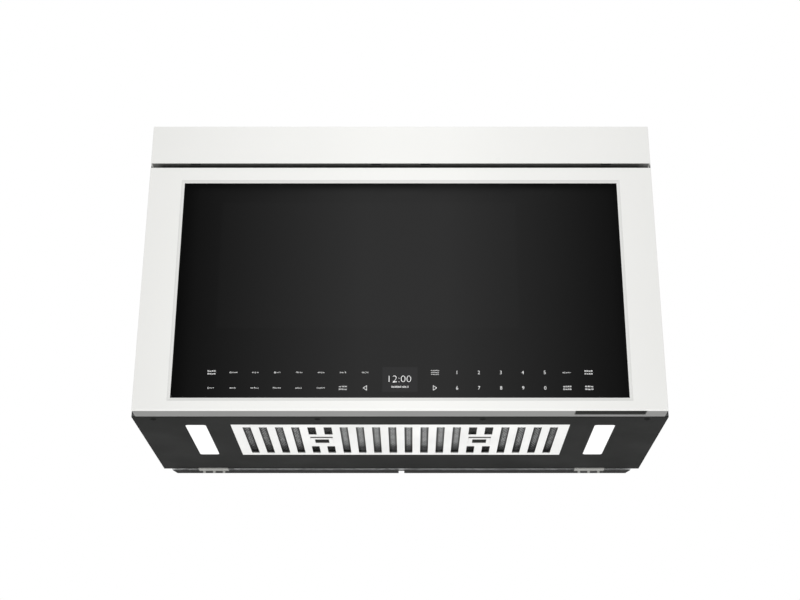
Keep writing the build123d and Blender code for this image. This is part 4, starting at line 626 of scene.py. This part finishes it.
# ------------------------------------------------------------------ oven
# Cavity of folded steel in pale grey enamel with fine dark specks, punched in front of its lamp.
# Its floor is a pane of white glass ceramic, faintly marbled.
lamp_low, lamp_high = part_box("cavity_lamp")
lamp_y, lamp_z = (lamp_low.y + lamp_high.y) / 2, (lamp_low.z + lamp_high.z) / 2
lamp_patch = 0.014
lamp_gap = 0.008
lamp_pitch = 0.004
lamp_hole = 0.0013
flecks_per_metre = 420.0
oven_coat = enamel("oven_enamel", (0.42, 0.43, 0.43), roughness=0.25)
tree, shader, plain = opened(oven_coat)
spot = spot_in(tree)
flecks = sums(tree, "MULTIPLY", shift(tree, specks(tree, flecks_per_metre), 0.16, 0.10), 0.75)
tone = layered(tree, flecks, plain, (0.10, 0.10, 0.11, 1.0))
by_lamp = sums(tree, "GREATER_THAN", spot["X"], lamp_low.x - lamp_gap)
for value, middle in ((spot["Y"], lamp_y), (spot["Z"], lamp_z)):
    by_lamp = sums(tree, "MULTIPLY", by_lamp, sums(tree, "COMPARE", value, middle, lamp_patch))
# The lamp holes are painted near black: painted shade of the space seen through them.
holes = punched(tree, object_place(tree), lamp_pitch, lamp_hole, across=(0.0, 1.0, 0.0))
holes = sums(tree, "MULTIPLY", by_lamp, holes)
wire(tree, shader, base_color=layered(tree, holes, tone, (0.004, 0.004, 0.004, 1.0)))
dress(oven_coat, "cavity")

stone = enamel("glass_ceramic", (0.80, 0.79, 0.76), peel=0.02, depth=0.00001, roughness=0.14)
tree, shader, plain = opened(stone)
veins = noise(tree, object_place(tree), 0.015, detail=6.0, roughness=0.65, distortion=1.2)
veins = shift(tree, veins, 0.50, 0.62, 0.0, 0.25)
wire(tree, shader, base_color=layered(tree, veins, plain, (0.62, 0.60, 0.56, 1.0)))
dress(stone, "ceramic_floor")

# ------------------------------------------------------------------ filter cover and latches
# The cover is slotted sheet steel in satin white powder coat, faintly mottled. The latches are
# white finger plates on sliders of dark grey plastic. All of each latch above the plates' face is
# coloured dark grey: the sliders' own colour, and painted shade in their pockets.
cover_coat = powder_coat(
    "white_powder_coat", (0.91, 0.91, 0.90), grain=0.0014, depth=0.00005, roughness=0.45)
dress(cover_coat, "filter_cover")
finger_plate = 0.0007
latch_white = powder_coat(
    "white_latch_coat", (0.91, 0.91, 0.90), grain=0.0014, depth=0.00005, roughness=0.45)
tree, shader, white = opened(latch_white)
# Dark grey above the finger plates: the sliders' plastic, and painted shade in their pockets.
above = sums(tree, "GREATER_THAN", spot_in(tree)["Z"], finger_plate)
wire(tree, shader, base_color=layered(tree, above, white, (0.06, 0.06, 0.058, 1.0)))
dress(latch_white, "left_filter_latch", "right_filter_latch")


# ------------------------------------------------------------------ door glass
# One pane of black glass, printed black behind, with the viewing window and the display a little
# lighter than the rest.
def patch(tree, spot, sides, ends, soft):
    """1 inside a rectangle in the door's plane and 0 outside, with a soft edge."""
    inside = 1.0
    for value, (low, high) in ((spot["X"], sides), (spot["Z"], ends)):
        rise = eased(tree, value, low - soft, low + soft)
        fall = eased(tree, value, high - soft, high + soft, 1.0, 0.0)
        inside = sums(tree, "MULTIPLY", sums(tree, "MULTIPLY", rise, fall), inside)
    return inside


view_sides = (-0.263, 0.170)
view_ends = (0.121, 0.317)
view_soft = 0.002
display_sides = (-0.0247, 0.0247)
display_ends = (0.0267, 0.0630)
display_soft = 0.0003
material, tree, shader = shader_of("black_door_glass")
spot = spot_in(tree)
window = patch(tree, spot, view_sides, view_ends, view_soft)
screen = patch(tree, spot, display_sides, display_ends, display_soft)
tone = layered(tree, window, (0.0030, 0.0030, 0.0030, 1.0), (0.0042, 0.0042, 0.0042, 1.0))
tone = layered(tree, screen, tone, (0.0095, 0.0095, 0.0100, 1.0))
wiped = noise(tree, object_place(tree), 0.08, detail=4.0)
wire(tree, shader, base_color=tone, roughness=shift(tree, wiped, 0.3, 0.7, 0.03, 0.07))
dress(material, "door_glass")

# Inner window: clear glass, a little hazy from cleaning. The display has a near black case.
material, tree, shader = shader_of("clear_pane")
haze = noise(tree, object_place(tree, (1.0, 1.0, 3.0)), 0.04, detail=5.0)
wire(tree, shader, roughness=shift(tree, haze, 0.4, 0.7, 0.01, 0.06))
shader.inputs["Base Color"].default_value = (0.85, 0.87, 0.87, 1.0)
shader.inputs["Transmission Weight"].default_value = 1.0
dress(material, "inner_window")
dress(moulded("display_case", (0.04, 0.04, 0.045), 0.3), "display_module")

# ------------------------------------------------------------------ lamps
# Frosted lenses, moulded in clear plastic, close the base's two lamp openings and are lit from
# behind by the lamp boards. A fine prism pattern spreads the light.
prisms_per_metre = 550.0
material, tree, shader = shader_of("lit_frosted_lens")
prisms = specks(tree, prisms_per_metre, randomness=0.0)
frost = noise(tree, object_place(tree), 0.02, detail=3.0)
wire(tree, shader, emission_color=ramp(tree, prisms, (0.1, 1.0), (0.7, 0.97)),
     roughness=shift(tree, frost, 0.3, 0.7, 0.42, 0.56), normal=bumped(tree, prisms, 0.0001))
shader.inputs["Base Color"].default_value = (0.20, 0.20, 0.20, 1.0)
shader.inputs["Emission Strength"].default_value = 0.80
dress(material, "lamp_lenses")

# ------------------------------------------------------------------ filter meshes
# Two pads of layered expanded aluminium mesh, each held in a thin folded channel, laid in the cover
# behind its slots and cut out round the latches.
mesh_low, mesh_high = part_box("filter_meshes")
cell_across = 0.0048
cell_along = 0.0110
strand = 0.0010
channel_lip = 0.0028
channel_sheet = 0.0005
layer_heights = (0.0009, 0.0034, 0.0060)
pad_inner = 0.003
cutout_half_x = 0.0215
cutout_half_y = 0.0265
level_face = 0.9                         # faces whose normals stand this near to upright
crumple = 0.0004                         # the sheets aren't quite flat
crumple_x = 90.0
crumple_y = 70.0
handle_x = sum(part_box("right_filter_latch"), Vector()).x / 2
cover_y = (mesh_low.y + mesh_high.y) / 2
slots_y = cover_y + 0.0018
slot_pitch = 0.02348
slot_half = 0.0059
apparent_pitch = 1.0095 * slot_pitch     # the slots' pitch as it falls on the pads, seen from below
slot_shade_from = 0.0036                     # painted shade towards the slots' edges, where the cover shades the pads
slot_shade_full = 0.0016
pad_lit_y = cover_y + 0.015            # lit up to here, painted darker to the rear as painted shade
pad_shaded_y = cover_y + 0.092
# painted shade on the pads' rear near the latches, under the cover's rear rim
rear_shade_y = cover_y + 0.080
rear_shade_blend = 0.012
rear_shade_reach = 2.4 * slot_pitch
slot_shade_strength = 0.7
latch_shade_strength = 0.8
film_drift = 0.35
upper_from = mesh_low.z + 0.0020         # the upper layers lie in the dark
upper_full = mesh_low.z + 0.0040
upper_dark = 0.75
ends_from = 0.09                         # and so do the pads' outer ends
ends_full = 0.223
ends_dark = 0.40


def only(thing):
    """Selects one object and makes it active."""
    bpy.ops.object.select_all(action="DESELECT")
    thing.select_set(True)
    bpy.context.view_layer.objects.active = thing


def apply_all(thing):
    """Applies the object's modifiers in their order."""
    only(thing)
    for modifier in list(thing.modifiers):
        bpy.ops.object.modifier_apply(modifier=modifier.name)


def joined(name, parts):
    """Joins objects into one piece with a name."""
    bpy.ops.object.select_all(action="DESELECT")
    for part in parts:
        part.select_set(True)
    bpy.context.view_layer.objects.active = parts[0]
    bpy.ops.object.join()
    piece = bpy.context.object
    piece.name = name
    piece.data.name = name
    return piece


def solid_box(x0, x1, y0, y1, z0, z1):
    """Box between two corners, to be shaped or to cut with."""
    bpy.ops.object.select_all(action="DESELECT")
    bpy.ops.mesh.primitive_cube_add(size=1.0, location=((x0 + x1) / 2, (y0 + y1) / 2, (z0 + z1) / 2))
    box = bpy.context.object
    box.scale = (x1 - x0, y1 - y0, z1 - z0)
    bpy.ops.object.transform_apply(location=True, rotation=True, scale=True)
    return box


def mesh_layer(left, right, front, back, height, turn):
    """One layer of expanded mesh: slit diamonds of strands, crumpled a little out of the sheet."""
    cells = int((right - left) / cell_across + (back - front) / cell_along + 2)
    bpy.ops.object.select_all(action="DESELECT")
    bpy.ops.mesh.primitive_grid_add(
        x_subdivisions=cells, y_subdivisions=cells, size=cells / math.sqrt(2))
    layer = bpy.context.object
    layer.rotation_euler = (0.0, 0.0, math.radians(45))
    bpy.ops.object.transform_apply(rotation=True)
    layer.scale = (cell_across, cell_along, 1.0)
    layer.location = ((left + right) / 2 + turn * cell_across / 3, (front + back) / 2, height)
    bpy.ops.object.transform_apply(location=True, scale=True)
    bpy.ops.object.mode_set(mode="EDIT")
    for point, outward in (
        ((left, 0.0, 0.0), (-1.0, 0.0, 0.0)), ((right, 0.0, 0.0), (1.0, 0.0, 0.0)),
        ((0.0, front, 0.0), (0.0, -1.0, 0.0)), ((0.0, back, 0.0), (0.0, 1.0, 0.0)),
    ):
        bpy.ops.mesh.select_all(action="SELECT")
        bpy.ops.mesh.bisect(plane_co=point, plane_no=outward, clear_outer=True)
    bpy.ops.mesh.select_all(action="DESELECT")
    bpy.ops.object.mode_set(mode="OBJECT")
    side = 1.0 if left + right > 0 else -1.0
    for face in layer.data.polygons:
        at = face.center
        by_latch = abs(at.x - side * handle_x) < cutout_half_x
        face.select = by_latch and abs(at.y - slots_y) < cutout_half_y
    bpy.ops.object.mode_set(mode="EDIT")
    bpy.ops.mesh.delete(type="FACE")
    bpy.ops.object.mode_set(mode="OBJECT")
    for vertex in layer.data.vertices:
        x, y = vertex.co.x * crumple_x + turn, vertex.co.y * crumple_y - turn
        vertex.co.z += crumple * (math.sin(1.7 * x + y) + math.sin(2.9 * y - 0.6 * x)) / 2
    weave = layer.modifiers.new("strands", "WIREFRAME")
    weave.thickness = strand
    weave.use_even_offset = False
    apply_all(layer)
    return layer


material, tree, shader = shader_of("expanded_aluminium")
place = object_place(tree)
spot = spot_in(tree)
film = noise(tree, place, 0.012, detail=4.0)
across = sums(tree, "ABSOLUTE", spot["X"], 0.0)
# Painted shade: the pads are painted darker from front to rear, with a little noise in the edge.
rearwards = shift(tree, spot["Y"], pad_lit_y, pad_shaded_y)
rearwards = sums(tree, "MULTIPLY_ADD", sums(tree, "SUBTRACT", film, 0.5), film_drift, rearwards)
tone = ramp(tree, rearwards, (0.0, (0.94, 0.95, 0.95)), (0.34, (0.72, 0.73, 0.73)),
            (0.54, (0.30, 0.303, 0.305)), (1.0, (0.25, 0.252, 0.255)))
for shade in (
    shift(tree, spot["Z"], upper_from, upper_full, 0.0, upper_dark),
    shift(tree, across, ends_from, ends_full, 0.0, ends_dark),
):
    tone = layered(tree, shade, tone, (0.0, 0.0, 0.0, 1.0))
# Painted shade along the edges of the cover's slots, round the latches, and at the pads' rear by them.
column = sums(tree, "FRACT", sums(tree, "DIVIDE", spot["X"], apparent_pitch), 0.0)
from_middle = sums(tree, "ABSOLUTE", sums(tree, "SUBTRACT", column, 0.5), 0.0)
slot_shade = shift(tree, from_middle, (slot_half - slot_shade_from) / slot_pitch,
              (slot_half - slot_shade_full) / slot_pitch, 0.0, slot_shade_strength)
near_latch = sums(tree, "COMPARE", across, handle_x, slot_pitch)
slot_shade = sums(tree, "MAXIMUM", slot_shade, sums(tree, "MULTIPLY", near_latch, latch_shade_strength))
rear_shade = sums(tree, "MULTIPLY", sums(tree, "COMPARE", across, handle_x, rear_shade_reach),
              shift(tree, spot["Y"], rear_shade_y - rear_shade_blend, rear_shade_y))
slot_shade = sums(tree, "MAXIMUM", slot_shade, rear_shade)
tone = layered(tree, slot_shade, tone, (0.05, 0.05, 0.048, 1.0))
wire(tree, shader, base_color=tone, roughness=shift(tree, film, 0.3, 0.7, 0.35, 0.55),
     normal=bumped(tree, noise(tree, place, 0.0006), 0.00003))
shader.inputs["Metallic"].default_value = 0.5
for side, name in ((-1, "left_filter_pad"), (1, "right_filter_pad")):
    ends = sorted((side * pad_inner, side * mesh_high.x))
    box = (ends[0], ends[1], mesh_low.y, mesh_high.y)
    layers = [
        mesh_layer(*box, mesh_low.z + height, turn) for turn, height in enumerate(layer_heights)
    ]
    channel = solid_box(*box, mesh_low.z, mesh_high.z)
    bpy.ops.object.mode_set(mode="EDIT")
    bpy.ops.mesh.select_all(action="DESELECT")
    bpy.ops.object.mode_set(mode="OBJECT")
    for face in channel.data.polygons:
        face.select = abs(face.normal.z) > level_face
    bpy.ops.object.mode_set(mode="EDIT")
    bpy.ops.mesh.inset(thickness=channel_lip, use_individual=True)
    bpy.ops.mesh.delete(type="FACE")
    bpy.ops.object.mode_set(mode="OBJECT")
    fold = channel.modifiers.new("sheet", "SOLIDIFY")
    fold.thickness = channel_sheet
    fold.offset = -1.0
    apply_all(channel)
    pad = joined(name, [channel, *layers])
    coat(pad, material)
    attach(pad, "filter")
    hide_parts("filter_meshes")

# ------------------------------------------------------------------ base screws
# Four pan-head screws hold the base's front edge to the face plate's foot. They are driven before
# painting, so their domed heads, with cross recesses, wear the same charcoal coat.
screw_low, screw_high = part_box("base_screws")
head_radius = (screw_high.y - screw_low.y) / 2
head_height = -screw_low.z
head_rim = 0.0004
shank_radius = 0.0019
recess_arm = 0.0021
recess_wide = 0.0008
screw_y = (screw_low.y + screw_high.y) / 2
screw_xs = (-0.351, -0.1176, 0.1176, 0.351)
shank_end = screw_high.z - 0.0002
recess_low = -2 * head_height
recess_top = -0.45 * head_height
bpy.ops.object.select_all(action="DESELECT")
bpy.ops.mesh.primitive_uv_sphere_add(
    segments=32, ring_count=16, radius=head_radius, location=(0.0, 0.0, 0.0))
head = bpy.context.object
head.scale = (1.0, 1.0, (head_height - head_rim) / head_radius)
head.location = (0.0, 0.0, -head_rim)
bpy.ops.object.transform_apply(location=True, rotation=True, scale=True)
bpy.ops.object.mode_set(mode="EDIT")
bpy.ops.mesh.select_all(action="SELECT")
bpy.ops.mesh.bisect(
    plane_co=(0.0, 0.0, -head_rim), plane_no=(0.0, 0.0, 1.0), clear_outer=True, use_fill=True)
bpy.ops.mesh.select_all(action="DESELECT")
bpy.ops.object.mode_set(mode="OBJECT")
for face in head.data.polygons:
    face.select = face.normal.z > level_face
bpy.ops.object.mode_set(mode="EDIT")
bpy.ops.mesh.extrude_region_move(TRANSFORM_OT_translate={"value": (0.0, 0.0, head_rim)})
bpy.ops.mesh.inset(thickness=head_radius - shank_radius)
bpy.ops.mesh.extrude_region_move(TRANSFORM_OT_translate={"value": (0.0, 0.0, shank_end)})
bpy.ops.mesh.select_all(action="SELECT")
bpy.ops.mesh.normals_make_consistent(inside=False)
bpy.ops.object.mode_set(mode="OBJECT")
for long_x, long_y in ((recess_arm, recess_wide / 2), (recess_wide / 2, recess_arm)):
    tool = solid_box(-long_x, long_x, -long_y, long_y, recess_low, recess_top)
    recess = head.modifiers.new("recess", "BOOLEAN")
    recess.object = tool
    recess.operation = "DIFFERENCE"
    recess.solver = "EXACT"
    apply_all(head)
    bpy.data.objects.remove(tool, do_unlink=True)
only(head)
bpy.ops.object.shade_smooth_by_angle(angle=math.radians(35))
screws = []
for screw_x in screw_xs:
    screw = head.copy()
    screw.data = head.data.copy()
    scene.collection.objects.link(screw)
    screw.location = (screw_x, screw_y, 0.0)
    only(screw)
    bpy.ops.object.transform_apply(location=True)
    screws.append(screw)
bpy.data.objects.remove(head, do_unlink=True)
base_screw_heads = joined("base_screw_heads", screws)
coat(base_screw_heads, charcoal_coat)
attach(base_screw_heads, "cabinet")
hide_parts("base_screws")

# ------------------------------------------------------------------ latch spring
# Coil of spring steel wire between the latch lever and its stop on the door. It holds the lever's
# hooks down.
spring_low, spring_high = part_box("latch_spring")
spring_height = spring_high.z - spring_low.z
spring_middle = (spring_low + spring_high) / 2
wire_radius = 0.0005
coil_turns = 7
coil_radius = (spring_high.x - spring_low.x) / 2 - wire_radius
coil_step = (spring_height - 2 * wire_radius) / coil_turns
bpy.ops.object.select_all(action="DESELECT")
bpy.ops.mesh.primitive_circle_add(
    vertices=12, radius=wire_radius, location=(coil_radius, 0.0, spring_low.z + wire_radius),
    rotation=(math.radians(90), 0.0, 0.0),
)
latch_coil = bpy.context.object
latch_coil.name = latch_coil.data.name = "latch_coil"
bpy.ops.object.transform_apply(location=True, rotation=True)
winding = latch_coil.modifiers.new("winding", "SCREW")
winding.steps = 28
winding.iterations = coil_turns
winding.screw_offset = coil_step
apply_all(latch_coil)
bpy.ops.object.mode_set(mode="EDIT")
bpy.ops.mesh.select_all(action="SELECT")
bpy.ops.mesh.fill_holes(sides=0)
bpy.ops.mesh.normals_make_consistent(inside=False)
bpy.ops.object.mode_set(mode="OBJECT")
bpy.ops.object.shade_smooth_by_angle(angle=math.radians(50))
latch_coil.location = (spring_middle.x, spring_middle.y, 0.0)
bpy.ops.object.transform_apply(location=True)
coat(latch_coil, ground_steel)
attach(latch_coil, "door")
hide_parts("latch_spring")
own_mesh(latch_coil)

# ------------------------------------------------------------------ keys and clock
# The legends are printed on the back of the glass and lit from behind: numbers, two arrows and
# plain signs. The clock's figures are brighter and thinner.
print_thick = 0.00003
print_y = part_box("door_glass")[0].y - 0.00002
key_pitch = 0.0309
key_first = 0.0493
key_rows = (0.0552, 0.0326)
number_height = 0.0050
arrow_height = 0.0078
arrow_width = 0.0058
sign_height = 0.0026
sign_width = 0.0115
short_sign = 0.8 * sign_width
lines_height = 0.0060
three_lines = 1.2 * lines_height
number_thinner = 0.00006
columns = 8
bright_from = 6


def legend(body, x, z, height, width=0.0, thinner=0.0):
    """Characters on the glass that face forwards, centred at x and z. Width 0 keeps their shape."""
    bpy.ops.object.select_all(action="DESELECT")
    bpy.ops.object.text_add()
    text = bpy.context.object
    text.data.body = body
    text.data.size = 1.35 * height
    text.data.offset = -thinner
    text.data.align_x = "CENTER"
    text.data.space_line = 0.95
    text.data.extrude = print_thick
    text.data.resolution_u = 3
    bpy.ops.object.convert(target="MESH")
    bpy.ops.object.origin_set(type="ORIGIN_GEOMETRY", center="BOUNDS")
    printed = bpy.context.object
    span = printed.dimensions
    taller = height / span.y
    printed.scale = (width / span.x if width else taller, taller, 1.0)
    printed.location = (x, print_y, z)
    printed.rotation_euler = (math.radians(90), 0.0, 0.0)
    bpy.ops.object.transform_apply(location=True, rotation=True, scale=True)
    return printed


def lit_print(name, strength):
    """Translucent print with light behind it."""
    material, tree, shader = shader_of(name)
    dots = noise(tree, object_place(tree), 0.0004, detail=1.0)
    wire(tree, shader, base_color=ramp(tree, dots, (0.3, 0.55), (0.7, 0.7)))
    shader.inputs["Roughness"].default_value = 0.4
    shader.inputs["Emission Color"].default_value = (1.0, 1.0, 0.99, 1.0)
    shader.inputs["Emission Strength"].default_value = strength
    return material


left_signs = (
    ("≡≈≋≡\n≋≡≈≋", "⚙≡≈≋≡", "≡↓≈", "♨≈≡↑", "◔≡↑≈", "≋≡↓≈", "≡≈↑", "≡≈⟳≡"),
    ("☀≡≈↑", "✳≋↻", "≋≡◔≈↓", "◔≡≈↑≡", "≈≡♪↓", "☾≈≡≋↑", "≈≡≋\n≡≋≈", "◁"),
)
right_signs = (
    ("≡≈≋≡≈\n≈≡≋≈≡\n≡≋≈≡≋", "1", "2", "3", "4", "5", "≡↻≈≡✓", "≋≡≈≋\n≡≈≋≡"),
    ("▷", "6", "7", "8", "9", "0", "≈≡≋≡\n≡≈≡≋", "≡≋≈\n≋≈≡"),
)
number_keys = []
bright_keys = []
dim_keys = []
for row, level in enumerate(key_rows):
    for column in range(columns):
        reach = key_first + key_pitch * column
        pair = (left_signs[row][columns - 1 - column], right_signs[row][column])
        for side, sign in zip((-1, 1), pair):
            number = sign.isdigit()
            height, width = (lines_height if "\n" in sign else sign_height), sign_width
            if len(sign) < 5:
                width = short_sign
            if number:
                height, width = number_height, 0.0
            elif len(sign) == 1:
                height, width = arrow_height, arrow_width
            elif sign.count("\n") == 2:
                height = three_lines
            group = number_keys if number else bright_keys if column >= bright_from else dim_keys
            thinner = number_thinner if number else 0.0
            group.append(legend(sign, side * reach, level, height, width, thinner))
bright_keys.append(legend("≡≈≡≋≡≈≡ ≈≡≈ ≡", x=0.0, z=0.0342, height=0.0028, width=0.0240))
for name, printed, strength in (
    ("key_numbers", number_keys, 0.36), ("bright_key_signs", bright_keys, 0.55),
    ("dim_key_signs", dim_keys, 0.28),
):
    piece = joined(name, printed)
    coat(piece, lit_print(name + "_print", strength))
    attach(piece, "door")

clock = legend("12:00", x=0.0, z=0.0456, height=0.0096, width=0.0312, thinner=0.0004)
clock.name = clock.data.name = "clock_figures"
coat(clock, lit_print("clock_light", strength=0.95))
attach(clock, "door")
